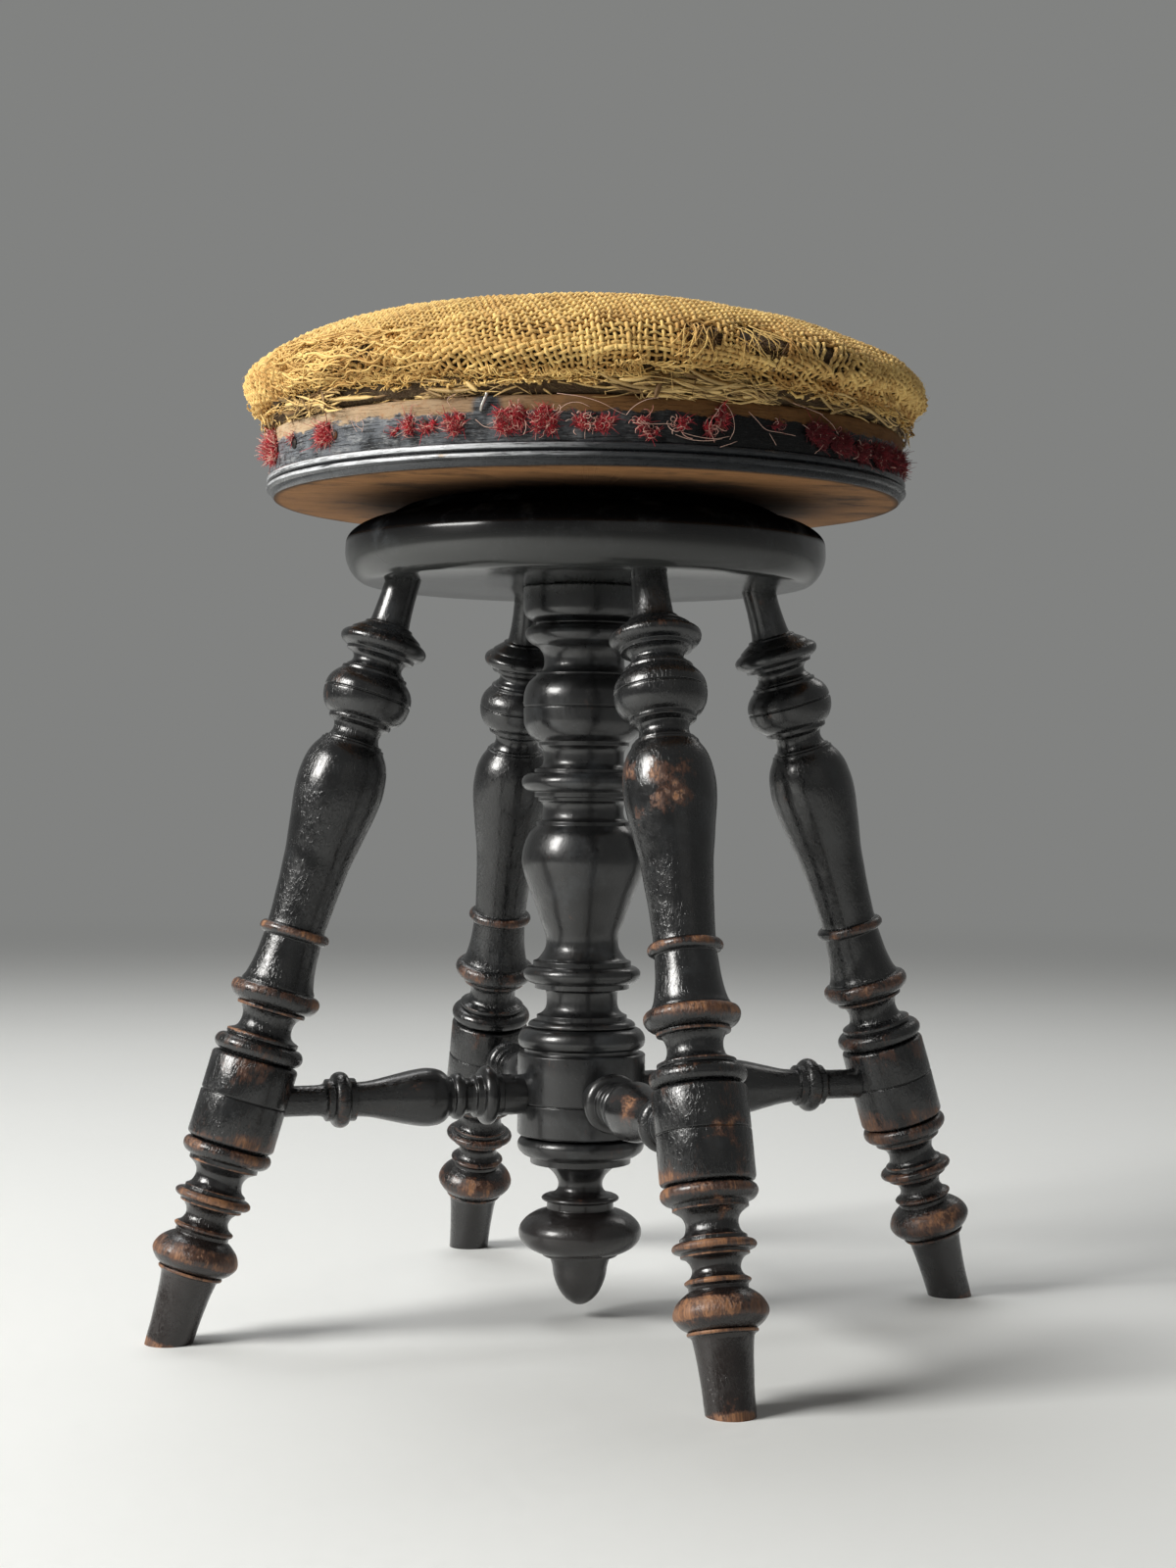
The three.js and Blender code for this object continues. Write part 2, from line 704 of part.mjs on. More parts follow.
function addSeatBoard() {
  const at = (r, z) => new THREE.Vector2(r, z);
  const flat = boardFlatShare * boardRadius;
  const turning = turnedOutline(boardTurningShares, at(flat, 0), boardThickness, boardRadius);
  const blank = turned([at(0, 0), ...turning, at(0, boardThickness)], discSides).translate(0, 0, boardBase);
  const underside = boardBase - cutOverrun;
  const flangeSeat = boardBase + seatFlangeThickness + clearance;
  const tools = [
    rod(seatFlangeRadius + clearance, underside, flangeSeat, columnSides),
    rod(seatHubRadius + clearance, underside, boardBase + seatHubHeight + clearance, columnSides),
  ];
  for (let index = 0; index < woodScrewCount; index++) {
    tools.push(woodScrewBlank(clearance).applyMatrix4(screwPlace(seatScrewCircleRadius, boardBase, index, true)));
  }
  for (const turnShare of coverTackTurnShares) tools.push(tack(clearance).applyMatrix4(tackPlace(turnShare)));
  add(stool, "seat_board", cut(blank, tools), boardWood);
  const nail = tack(0);
  coverTackTurnShares.forEach((turnShare, index) => {
    add(stool, `cover_tack_${index + 1}`, nail, steel).applyMatrix4(tackPlace(turnShare));
  });
}

function addSeatFlange() {
  const at = (r, z) => new THREE.Vector2(r, z);
  const flangeTop = boardBase + seatFlangeThickness;
  const hubTop = boardBase + seatHubHeight;
  const outline = [
    at(0, boardBase),
    at(seatFlangeRadius, boardBase),
    at(seatFlangeRadius, flangeTop),
    at(seatHubRadius, flangeTop),
    at(seatHubRadius, hubTop),
    at(0, hubTop),
  ];
  const shankHole = screwRadius + threadClearance;
  const tools = [
    rod(shankHole, boardBase - cutOverrun, hubTop - seatHubRoof, threadSides),
    crossPin(crossPinRadius + clearance, seatHubRadius + cutOverrun),
  ];
  for (let index = 0; index < woodScrewCount; index++) {
    tools.push(woodScrewBlank(clearance).applyMatrix4(screwPlace(seatScrewCircleRadius, boardBase, index, true)));
  }
  add(stool, "seat_flange", cut(turned(outline, columnSides), tools), castIron);
  addFlangeScrews("flange_screw", seatScrewCircleRadius, boardBase, true);
}

// Lumps and droop of the stuffing, which cloth and hay share, added to a meridian point
function settled(point, angle) {
  const outward = point.x / cushionRadius;
  const upward = (point.y - boardTop) / cushionHeight;
  const droop = -crownDroop * outward * outward * Math.cos(angle - crownDroopTurnShare * Math.PI * 2);
  const lumps = cushionWaves.map(({ count, height, phaseShare }) => {
    return height * Math.sin(count * angle + phaseShare * Math.PI * 2);
  });
  const lump = lumps.reduce((sum, height) => sum + height, 0) * outward * outward * upward;
  return new THREE.Vector2(point.x + lump, point.y + droop * upward + lump);
}

// The crown's outer meridian, lip first, moved in by a thickness along its normals
function crownMeridian(inset) {
  const at = ([radiusShare, heightShare]) => {
    return new THREE.Vector2(radiusShare * cushionRadius, boardTop + heightShare * cushionHeight);
  };
  const outer = [...crownMeridianShares.map(at).reverse(), at([0, 1])];
  return outer.map((point, index) => {
    const before = outer[Math.max(index - 1, 0)];
    const after = outer[Math.min(index + 1, outer.length - 1)];
    const along = after.clone().sub(before).normalize();
    const inward = new THREE.Vector2(-along.y, along.x);
    const moved = point.clone().addScaledVector(inward, inset);
    return index === outer.length - 1 ? new THREE.Vector2(0, point.y - inset) : moved;
  });
}

function addCushion() {
  const outer = crownMeridian(0);
  const inner = crownMeridian(clothThickness).reverse();
  const cloth = [...inner, ...outer];
  const filling = crownMeridian(clothThickness + clearance);
  const skirt = stuffingSkirtShares.map(([radiusShare, heightShare]) => {
    return new THREE.Vector2(radiusShare * cushionRadius, boardTop + clearance + heightShare * cushionHeight);
  });
  const hayOutline = [new THREE.Vector2(0, boardTop + clearance), ...skirt, ...filling];
  const skin = (points) => wavySkin((angle) => points.map((point) => settled(point, angle)), cushionSides);
  add(stool, "hay_stuffing", skin(hayOutline), hay);
  add(stool, "hessian_cover", skin(cloth), hessian);
}

addPlatform();
addColumn();
addFinial();
addLegsAndStretchers();
addNut();
addScrew();
addStop();
addSeatFlange();
addSeatBoard();
addCushion();

export default stool;
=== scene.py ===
"""A revolving piano stool: ebonised turned legs, column, stretchers and platform, an iron screw, and a
hay-stuffed seat under worn hessian, with tufts of torn plush round its board."""

import json
import math
import random

import bpy
import numpy as np
from bpy.props import FloatProperty, FloatVectorProperty, IntProperty, PointerProperty
from mathutils import Matrix, Vector, noise
from mathutils.bvhtree import BVHTree

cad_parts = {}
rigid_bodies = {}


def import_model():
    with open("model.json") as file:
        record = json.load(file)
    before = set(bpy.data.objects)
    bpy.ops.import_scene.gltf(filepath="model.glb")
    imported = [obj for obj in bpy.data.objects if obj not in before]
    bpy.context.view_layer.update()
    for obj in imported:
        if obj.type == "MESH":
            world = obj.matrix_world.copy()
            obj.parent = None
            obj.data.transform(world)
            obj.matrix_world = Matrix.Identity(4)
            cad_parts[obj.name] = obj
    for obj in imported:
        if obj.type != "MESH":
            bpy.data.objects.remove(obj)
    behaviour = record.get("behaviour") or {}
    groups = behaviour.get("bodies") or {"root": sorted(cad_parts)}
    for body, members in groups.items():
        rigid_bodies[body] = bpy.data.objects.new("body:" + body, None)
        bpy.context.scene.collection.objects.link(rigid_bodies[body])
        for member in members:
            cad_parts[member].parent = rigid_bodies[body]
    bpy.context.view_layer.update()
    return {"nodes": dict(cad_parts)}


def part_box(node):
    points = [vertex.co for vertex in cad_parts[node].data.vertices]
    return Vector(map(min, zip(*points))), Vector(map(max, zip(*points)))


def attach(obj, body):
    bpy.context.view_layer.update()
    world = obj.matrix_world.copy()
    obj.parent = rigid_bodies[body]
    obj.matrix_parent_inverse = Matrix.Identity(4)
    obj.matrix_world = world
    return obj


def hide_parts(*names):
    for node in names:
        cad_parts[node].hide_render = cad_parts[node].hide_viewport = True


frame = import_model()

bl_info = {
    "name": "Revolving piano stool",
    "version": (1, 0, 0),
    "blender": (4, 5, 0),
    "location": "View3D > Sidebar > Stool",
    "description": "Dresses the packed frame of a turned, revolving piano stool",
    "category": "Object",
}

MM = 0.001
FULL_TURN = 2 * math.pi
LEG_NAMES = ("right", "back", "left", "front")

# Places that the frame and the looks share, in millimetres
FOOT_CIRCLE = 213
LEG_TOP_CIRCLE = 97.3
PLATFORM_BASE = 379.5
STRETCHER_HEIGHT = 117
BOARD_BASE = 421.7
BOARD_TOP = 453
BAND_RADIUS = 163.2
LEG_SPLAY = math.atan2(FOOT_CIRCLE - LEG_TOP_CIRCLE, PLATFORM_BASE)
LEG_LENGTH = math.hypot(FOOT_CIRCLE - LEG_TOP_CIRCLE, PLATFORM_BASE)


def curve(*rows):
    """Rows that the outline joins in one sweep with the rows beside them."""
    return [(*row, "curve") for row in rows]


# Turned outlines in millimetres: height, radius and, where a bead leads there, the radius that it reaches.
LEG_ROWS = (
    (-5, 0), (-5, 11.2), (2, 11.5), *curve((10, 11.75), (18.7, 12.3), (28, 13.1), (33.4, 13.9)),
    (34.6, 14.7), (36.6, 15.2, 16.1), *curve((39.2, 18.9), (43.8, 21.6), (48.8, 19.9), (52.2, 16.6),
    (54, 14)), (54.2, 13.5), (56, 13.5), (57.4, 14.9), (58.3, 15.1), (58.9, 14.4), *curve((60.6, 12),
    (63.6, 10.9), (66.8, 11.9), (68.6, 13.6)), (69.3, 15.6), (71, 15.6), (76, 15.3, 19.2), (77.7, 15.3),
    *curve((79.5, 13), (83.9, 12), (87.3, 13.4), (89.6, 16.4)), (90.1, 17.4), (92.5, 17.4),
    (101, 18.4, 22.4), (101.3, 20.2), *curve((102.1, 21.4), (103.4, 22)), (124.1, 22), (124.4, 21.3),
    (124.8, 21.3), (125.1, 22), (143.2, 22), *curve((144.4, 21.4), (145.2, 20)), (145.7, 18.6),
    (154.2, 18.4, 22.6), (154.5, 17.6), (155, 18.3), (156.8, 18.3), *curve((158.7, 14.4), (161.5, 13.1),
    (164.8, 13), (167.6, 13.9), (169.4, 15.3)), (169.8, 17.2), (171.4, 17.4), (171.8, 16.4),
    (182, 18.6, 22.6), (182.8, 18.7), *curve((185, 17.6), (188.4, 16.7), (195.3, 15.5), (204.5, 14.8),
    (207.2, 14.6)), (213.3, 14.6, 17.8), (216.1, 14.6), *curve((223, 14.9), (232.5, 15.5), (241.9, 16.3),
    (251.3, 17.2), (265.6, 19.5), (279.9, 21.7), (287, 22.2), (293.4, 21.8), (299.3, 20.8), (304.4, 18.8),
    (307.4, 16.9)), (308.6, 16.2), (309.6, 16.1), (309.9, 14.9), (311, 14.8), (311.3, 13.4),
    *curve((313.4, 12.3), (316, 11.9), (318.4, 12.6)), (319.2, 14), (320.2, 15.8), (321.4, 16.1),
    (322.4, 16), *curve((324.4, 18.9), (328.2, 21.3), (332.4, 22.3), (334.4, 22.4)), (334.8, 21.6),
    (335.2, 21.6), (335.6, 22.4), *curve((338.8, 21.9), (341.8, 20.5), (344.2, 18.5)), (345.6, 16.9),
    (347.2, 16.8), (347.6, 15.2), (348.6, 14.9), *curve((350.2, 13.2), (352.2, 12.7), (354.2, 13.6),
    (355.5, 15.4)), (355.8, 17.3), (357.6, 17.6), (358.2, 19), *curve((359.2, 20.8), (360.6, 21.9),
    (362.4, 22.3), (364, 21.8), (365.2, 20.6)), (366.2, 19), (366.6, 18.2), (367.6, 17.8),
    *curve((369.2, 15.6), (370.6, 13.4)), (371.2, 12.5), (372.3, 12.2), (372.7, 10.3), *curve((375.4, 9.8),
    (381, 9.3), (388, 8.9)), (LEG_LENGTH + 4, 8.8), (LEG_LENGTH + 4, 0),
)
COLUMN_ROWS = (
    (95.3, 0), (95.3, 31.9), (96.4, 33.1), (111.8, 33.1), (112.1, 32.3), (112.5, 32.3), (112.8, 33.1),
    (137.1, 33.1), (138, 32.1), (138.3, 29.6), (140.2, 29.6), (150.8, 28, 33), (151, 26.4),
    (154.8, 24.4, 27.6), (154.9, 23.4), (157.3, 23.4), *curve((158.4, 21), (160.9, 18.9), (165.5, 18.3),
    (169.9, 19), (170.7, 21)), (171.1, 24.4), (173.7, 24.4), (182.8, 25.4, 30.4), (183, 25.4),
    (185.3, 25.4), *curve((186.2, 23.2), (189.4, 20.6), (192, 19.2), (194.8, 18.7), (198.1, 18.9),
    (205.7, 21.5), (215.9, 25), (226, 29.1), (233.7, 31.4), (238.8, 31.8), (245.4, 30.6), (251.5, 28.1),
    (255.2, 24.8)), (255.6, 24.4), (257.5, 24.4), *curve((258.6, 22.3), (260.4, 21.3), (263.6, 20.9),
    (266.8, 21.5), (268, 23)), (268.4, 23.5), (269.9, 23.5), (270.3, 25.4), (272.7, 25.4),
    (283, 25.4, 32.1), (284.6, 25.4), *curve((285.5, 23), (287.6, 21.2), (291, 20.9), (294.6, 21.4),
    (296.4, 23)), (296.9, 23.6), (298.8, 23.6), *curve((300.2, 25.9), (302.8, 28.6), (307.4, 30.9),
    (312.4, 31.4), (316.2, 31.5)), (316.5, 30.8), (316.9, 30.8), (317.2, 31.5), *curve((322.7, 31.4),
    (327, 30.3), (330.6, 28.2), (333, 25.4)), (333.4, 25), (334.5, 25), *curve((335.6, 22.6), (338, 21.2),
    (341, 20.9), (344.4, 21.6), (347.2, 23.5)), (348.2, 24.6), *curve((349.4, 27), (351.4, 29.5),
    (354.2, 30.9), (356.6, 30.6), (358.5, 28.7)), (359.2, 26), (359.6, 25.4), (360.5, 25.4),
    *curve((361.6, 27.6), (363.6, 30.4), (366, 31.6), (368.6, 31.9)), (378.4, 31.9), (379.3, 31.2),
    (379.3, 15.7), (251, 15.7), (250.6, 0),
)
FINIAL_ROWS = (
    (95, 0), (95, 28.4), *curve((93.9, 31.4), (91.2, 33), (88, 32.4), (85.2, 29.8), (83.7, 26.4)),
    (83.4, 26.2), (80.6, 26), (80.3, 21.4), *curve((78.9, 18.2), (76.6, 15.2), (73.4, 12.6), (70.2, 11.4),
    (67, 12), (65, 14)), (64.4, 16), (61.1, 17.8, 20), (60.8, 17.2), (57, 17.3), (56.4, 18.8),
    *curve((55, 23), (51.8, 28), (48.2, 31), (44.9, 31.8), (41.4, 31.1), (38, 28.4), (35.4, 24.2),
    (34.1, 20.4)), (32.7, 19.3, 20), (32.4, 16), *curve((27.6, 14.4), (22.5, 13.7), (17.4, 12), (12.6, 9.3),
    (9.3, 6), (7.4, 2.6), (6.8, 0)),
)
STRETCHER_ROWS = (
    (30, 0), (30, 10), (33.4, 10.1), *curve((38, 10.4), (44, 10.2)), (44.3, 11), (47.1, 11),
    (54.9, 11.2, 15.1), (58, 11), *curve((58.7, 9.4), (60.8, 8.9), (63.4, 9.4)), (64.2, 10),
    (69.9, 10, 11.9), (70.4, 9.8), (72, 10.2), (72.8, 11.2), *curve((75, 13), (78.1, 14.2), (83.3, 14.8),
    (91, 13.9), (101.2, 11.7), (111.4, 9.4), (117, 8.7), (120.2, 8.6)), (120.5, 10.8), (123.9, 10.8),
    (132.2, 10.6, 14.1), (135.2, 10.6), *curve((135.8, 9), (137.4, 8.1), (139.4, 7.8), (150, 7.7),
    (160, 7.8)), (160, 0),
)
PLATFORM_ROWS = (
    (409.4, 0), (409.4, 15.9), (379.5, 15.9), (379.5, 112), *curve((380.3, 115.6), (382.6, 118.9),
    (386, 121.6), (390, 123.5), (394, 124.3), (398, 124.3), (401.4, 123.9), (404.6, 122.2), (408.1, 118.1),
    (410.7, 113), (412.4, 107.6)), (413.5, 103.2), (413.7, 102.6), *curve((415.3, 100.4), (417.2, 97),
    (418.6, 94.2), (419.5, 91)), (419.5, 34.4), (414.5, 34.4), (414.5, 15.9), (410, 15.9), (410, 0),
)
BOARD_ROWS = (
    (446, 0), (446, 17.4), (426.5, 17.4), (426.5, 45.3), (421.7, 45.3), (421.7, 160.4),
    *curve((422.2, 161.6), (423.4, 162.5)), (424.6, 162.8), (425, 162.9), (428.2, 163.3, 165),
    (428.5, 162.9), (428.8, 163.1), (432.7, 163.1, 164.6), (433, 162.8), (433.6, 163.1), (451.6, 163.3),
    *curve((453.4, 162.9), (454.2, 161.6)), (454.2, 0),
)
NUT_ROWS = (
    (365.2, 11.4), (365.2, 15.2), (365.6, 15.4), (414.7, 15.4), (414.7, 34), (418.6, 34), (419.2, 33.4),
)
FLANGE_ROWS = (
    (421.7, 11.5), (421.7, 44.3), (422.2, 45), (426.2, 45), (426.2, 17), (445.2, 17), (445.7, 16.5),
    (445.7, 0), (442.7, 0), (442.7, 11.5), (421.7, 11.5),
)
SPINDLE_ROOT, SPINDLE_CREST, THREAD_PITCH = 8.9, 11, 25.4 / 3
SPINDLE_FOOT, SPINDLE_HEAD = 262.9, 442.4

# The cover's outer line from the crown to its tucked edge: radius and height
COVER_LINE = (
    (0, 520.5), (22, 520.2), (45.8, 519), (66, 517.2), (88, 514.5), (106, 511.8), (123.2, 508.2),
    (136.4, 502.6), (153.1, 494.3), (162, 490.3), (168.1, 487.4), (172, 485), (174.4, 482.4), (176, 477.6),
    (175.4, 473.8), (173.2, 470.4), (168.6, 466.6), (164, 465.2), (161.6, 463.2), (162.4, 460.9),
    (165.6, 459), (167, 457.2), (166.2, 455.6), (162, 454.2),
)
COVER_RADIUS, COVER_RISE = 176, 67.5
# Radii at which lengths on the shoulder and at the torn edge become turns, and how far the cloth is woven
SHOULDER_RADIUS, EDGE_RADIUS, CLOTH_REACH = 168, 172, 217
SEAT_WAVES = ((3, 1.1, 0.1), (5, 0.9, 0.62), (8, 0.6, 0.35))
CROWN_DROOP, DROOP_TURN = 7, -0.2
CLOTH_TURN = math.radians(-8)
YARN_ROOM = 2.1  # millimetres from the cover's outer line to the stuffing
# Heights between which straws show under the cover, and the radius that they lie round
HAY_LOW, HAY_HIGH, HAY_RADIUS = 453.8, 464.5, 160.5
HOLE_STRAWS = 60
# Loose threads: round the torn edge, curled at its front left, level on the left shoulder and in each hole
EDGE_THREADS, CURLED_THREADS, LEVEL_THREADS, HOLE_THREADS = 560, 260, 150, 24
TACK_COUNT = 11


class StoolSizes(bpy.types.PropertyGroup):
    """Sizes and counts of the pieces that a user would change."""

    leg_sides: IntProperty(name="Leg sides", description="Flat sides round a leg", default=48, min=12)
    column_sides: IntProperty(
        name="Column sides", description="Flat sides round the column", default=64, min=12
    )
    disc_sides: IntProperty(
        name="Disc sides", description="Flat sides round platform and board", default=160, min=24
    )
    weave_pitch: FloatProperty(
        name="Weave pitch", description="From one hessian yarn to the next", default=3.4 * MM, unit="LENGTH"
    )
    yarn_radius: FloatProperty(
        name="Yarn radius", description="Half a hessian yarn's thickness", default=0.9 * MM, unit="LENGTH"
    )
    swell: FloatProperty(
        name="Swell", description="How far the stuffing may swell", default=3 * MM, unit="LENGTH"
    )
    voxel: FloatProperty(
        name="Stuffing grain", description="Size of the stuffing's mesh", default=5 * MM, unit="LENGTH"
    )
    straws: IntProperty(name="Straws", description="Straws round the seat's edge", default=2900, min=0)
    fuzz: IntProperty(name="Fuzz", description="Loose fibres on the hessian", default=1500, min=0)


def colour(label, text, default):
    return FloatVectorProperty(
        name=label, description=text, subtype="COLOR", size=3, default=default, min=0, max=1
    )


class StoolColours(bpy.types.PropertyGroup):
    """Colours of the finishes."""

    lacquer: colour("Lacquer", "Ebonised finish", (0.0042, 0.0043, 0.0047))
    bloom: colour("Bloom", "Dull bluish film on old lacquer", (0.045, 0.05, 0.055))
    worn_wood: colour("Worn wood", "Wood where the lacquer has gone", (0.37, 0.175, 0.078))
    worn_dark: colour("Stained wood", "Wood under thin lacquer", (0.085, 0.032, 0.015))
    raw_wood: colour("Raw wood", "Bare pine of the seat board", (0.54, 0.42, 0.275))
    underside: colour("Underside", "Bare wood under the seat", (0.33, 0.165, 0.065))
    # Paler band paint, shown only on the lit side: paint gone pale, and painted sheen
    band_paint: colour("Band", "Faded paint on the board's band", (0.17, 0.182, 0.2))
    iron: colour("Iron", "Cast iron", (0.06, 0.055, 0.052))
    steel: colour("Steel", "Bare steel", (0.62, 0.59, 0.54))
    rust: colour("Rust", "Rust on iron and steel", (0.17, 0.065, 0.028))
    jute: colour("Hessian", "Hessian yarn in the light", (0.9, 0.625, 0.22))
    # Dark end of the yarns' tone: dirty yarn, and painted shade in the hem's crease
    jute_dark: colour("Old hessian", "Hessian yarn where it is dirty", (0.44, 0.225, 0.055))
    hay: colour("Hay", "Dry hay", (0.86, 0.6, 0.235))
    # Dark end of the hay's tone: old hay, and painted shade in the stuffing and the holes
    hay_dark: colour("Old hay", "Hay deep in the seat", (0.15, 0.075, 0.02))
    plush: colour("Plush", "Torn crimson plush", (0.66, 0.022, 0.04))
    plush_faded: colour("Faded plush", "Faded backing threads", (0.78, 0.52, 0.42))
    floor: colour("Floor", "Pale floor", (0.86, 0.875, 0.86))
    backdrop: colour("Backdrop", "Pale background", (0.22, 0.223, 0.218))


def sizes():
    return bpy.context.scene.stool_sizes


def colours():
    return bpy.context.scene.stool_colours


def deselect_all():
    bpy.ops.object.select_all(action="DESELECT")


def make_active(piece):
    deselect_all()
    piece.select_set(True)
    bpy.context.view_layer.objects.active = piece


def coordinates(piece):
    found = np.zeros(len(piece.data.vertices) * 3)
    piece.data.vertices.foreach_get("co", found)
    return found.reshape(-1, 3)


def set_coordinates(piece, points):
    piece.data.vertices.foreach_set("co", np.asarray(points, np.float32).ravel())
    piece.data.update()


def normals_of(piece):
    found = np.zeros(len(piece.data.vertices) * 3)
    piece.data.vertices.foreach_get("normal", found)
    return found.reshape(-1, 3)


def add_attribute(mesh, name, values, kind="FLOAT"):
    attribute = mesh.attributes.new(name, kind, "POINT")
    field = "vector" if kind == "FLOAT_VECTOR" else "value"
    attribute.data.foreach_set(field, np.asarray(values, np.float32).ravel())


def wander(points, size, seed=0):
    """Smooth noise from -1 to 1 at each point; size is the distance over which it changes."""
    shift = Vector((seed * 7.31, seed * 3.17, seed * 5.53))
    return np.array([noise.noise(Vector(point) / size + shift) for point in points])


def round_axis(radius, turn, height):
    """Places at that radius, turn and height round the upright axis."""
    return np.stack(np.broadcast_arrays(radius * np.cos(turn), radius * np.sin(turn), height), -1)


def apart(turn, other):
    """Degrees from the other turn to this one, from -180 to 180."""
    return (turn - other + 180) % 360 - 180


def bell(place, middle, reach):
    """1 at the middle, falling to about a third at reach and then to 0."""
    return np.exp(-(((place - middle) / reach) ** 2))


# Turned pieces


def swept(points):
    """A smooth line through the points, a centripetal Catmull-Rom: it leaves each along its neighbours."""
    points = [np.array(point, float) for point in points]
    ends = [2 * points[0] - points[1], *points, 2 * points[-1] - points[-2]]
    line = []
    for before, start, end, after in zip(ends, ends[1:], ends[2:], ends[3:]):
        first, middle, last = (max(np.linalg.norm(b - a), 1e-6) ** 0.5
                               for a, b in ((before, start), (start, end), (end, after)))
        chord = (end - start) / middle
        leave = ((start - before) / first - (end - before) / (first + middle) + chord) * middle
        arrive = (chord - (after - start) / (middle + last) + (after - end) / last) * middle
        steps = max(2, math.ceil(np.linalg.norm(end - start) / 1.3))
        for t in np.arange(1, steps + 1) / steps:
            line.append(
                (2 * t**3 - 3 * t**2 + 1) * start + (t**3 - 2 * t**2 + t) * leave
                + (3 * t**2 - 2 * t**3) * end + (t**3 - t**2) * arrive
            )
    return line


def through(points):
    """The smooth line with its first point."""
    return np.array([points[0], *swept(points)])


def beaded(start, end, reach):
    """A half-round bead from start to end that stands out to the radius reach."""
    rise = reach - (start[0] + end[0]) / 2
    steps = 10
    line = []
    for step in range(1, steps + 1):
        turn = math.pi * step / steps
        share = (1 - math.cos(turn)) / 2
        line.append(start + (end - start) * share + np.array((rise * math.sin(turn), 0)))
    return line


def softened(points, reach=0.32):
    """Rounds each sharp corner of an outline a little, as use does."""
    line = [points[0]]
    for before, corner, after in zip(points, points[1:], points[2:]):
        back, on = before - corner, after - corner
        longs = np.linalg.norm(back), np.linalg.norm(on)
        if min(longs) < 1e-6:
            continue
        back, on = back / longs[0], on / longs[1]
        if back @ on < -0.85 or corner[0] < 1e-6:
            line.append(corner)
            continue
        cut = min(reach, 0.4 * longs[0], 0.4 * longs[1])
        for share in (0, 0.33, 0.67, 1):
            near, far = corner + back * cut, corner + on * cut
            line.append((1 - share) ** 2 * near + 2 * share * (1 - share) * corner + share**2 * far)
    return [*line, points[-1]]


def outline_of(rows):
    """The outline's points (radius, height), in millimetres."""
    line = [np.array((rows[0][1], rows[0][0]), float)]
    waiting = []
    for row in rows[1:]:
        point = np.array((row[1], row[0]), float)
        way = row[2] if len(row) > 2 else None
        if way == "curve":
            waiting.append(point)
            continue
        if waiting:
            line += swept([line[-1], *waiting])
            waiting = []
        line += beaded(line[-1], point, way) if way else [point]
    if waiting:
        line += swept([line[-1], *waiting])
    return softened(line)


def line_lengths(line):
    steps = np.linalg.norm(np.diff(line, axis=0), axis=1)
    return np.concatenate([[0], np.cumsum(steps)])


def crests(line, reach=4.0, shelter=0.82):
    """How far each point stands out from the outline's mean near it, less by shelter where it faces down."""
    lengths = line_lengths(line)
    even = np.arange(0, lengths[-1], 0.4)
    spread = np.stack([np.interp(even, lengths, line[:, 0]), np.interp(even, lengths, line[:, 1])], -1)
    mean = np.array([spread[np.abs(even - length) <= reach].mean(0) for length in lengths])
    along = np.gradient(line, axis=0)
    stride = np.maximum(np.linalg.norm(along, axis=1), 1e-6)
    inward = np.stack([along[:, 1], -along[:, 0]], -1) / stride[:, None]
    inward *= math.copysign(1, inward[np.argmax(line[:, 0]), 0])
    lift = np.minimum(1.5 * ((line - mean) * inward).sum(1), 1.1)
    return lift * (1 - shelter * np.clip(-0.12 - 1.3 * inward[:, 1], 0, 1))


def turned(name, rows, sides, marks=(0, 0, 0)):
    """Draws an outline, spins it round the upright axis and notes how proud each ring stands."""
    outline = outline_of(rows)
    deselect_all()
    bpy.ops.mesh.primitive_plane_add(size=MM)
    piece = bpy.context.object
    piece.name = piece.data.name = name
    bpy.ops.object.mode_set(mode="EDIT")
    bpy.ops.mesh.select_all(action="SELECT")
    bpy.ops.mesh.merge(type="CENTER")
    at = Vector((0, 0, 0))
    for index, (radius, height) in enumerate(outline):
        point = Vector((radius, 0, height)) * MM
        if index:
            bpy.ops.mesh.extrude_region_move(TRANSFORM_OT_translate={"value": point - at})
        else:
            bpy.ops.transform.translate(value=point)
        at = point
    bpy.ops.mesh.select_all(action="SELECT")
    bpy.ops.mesh.spin(steps=sides, angle=FULL_TURN, center=(0, 0, 0), axis=(0, 0, 1))
    bpy.ops.mesh.select_all(action="SELECT")
    bpy.ops.mesh.remove_doubles(threshold=0.004 * MM)
    bpy.ops.mesh.normals_make_consistent(inside=False)
    bpy.ops.object.mode_set(mode="OBJECT")
    line = np.array(outline)
    points = coordinates(piece)
    radii = np.hypot(points[:, 0], points[:, 1]) / MM
    nearest = np.array([
        np.argmin((line[:, 0] - radius) ** 2 + (line[:, 1] - height) ** 2)
        for radius, height in zip(radii, points[:, 2] / MM)
    ])
    add_attribute(piece.data, "proud", np.maximum(crests(line), 0.36 * crests(line, 9))[nearest])
    add_attribute(piece.data, "turning", points + np.array(marks), "FLOAT_VECTOR")
    return piece


def shade(piece, degrees=38):
    make_active(piece)
    bpy.ops.object.shade_smooth_by_angle(angle=math.radians(degrees))


def put(piece, matrix):
    """Places a piece in its mesh, so that its object stays at the origin."""
    piece.data.transform(matrix)
    piece.data.update()


def copied(piece, name, matrix, shift):
    """A copy with its own mesh, its own place and its own stretch of the grain."""
    other = piece.copy()
    other.data = piece.data.copy()
    other.name = other.data.name = name
    bpy.context.scene.collection.objects.link(other)
    put(other, matrix)
    place = np.zeros(len(other.data.vertices) * 3)
    other.data.attributes["turning"].data.foreach_get("vector", place)
    place = place.reshape(-1, 3) + np.array((0, 0, shift))
    other.data.attributes["turning"].data.foreach_set("vector", place.astype(np.float32).ravel())
    return other


def handled(piece, size, depth, seed):
    """Slight unevenness of hand turning and long use."""
    points = coordinates(piece)
    lift = wander(points, size, seed) + 0.5 * wander(points, size / 3, seed + 1)
    set_coordinates(piece, points + normals_of(piece) * (lift * depth)[:, None])


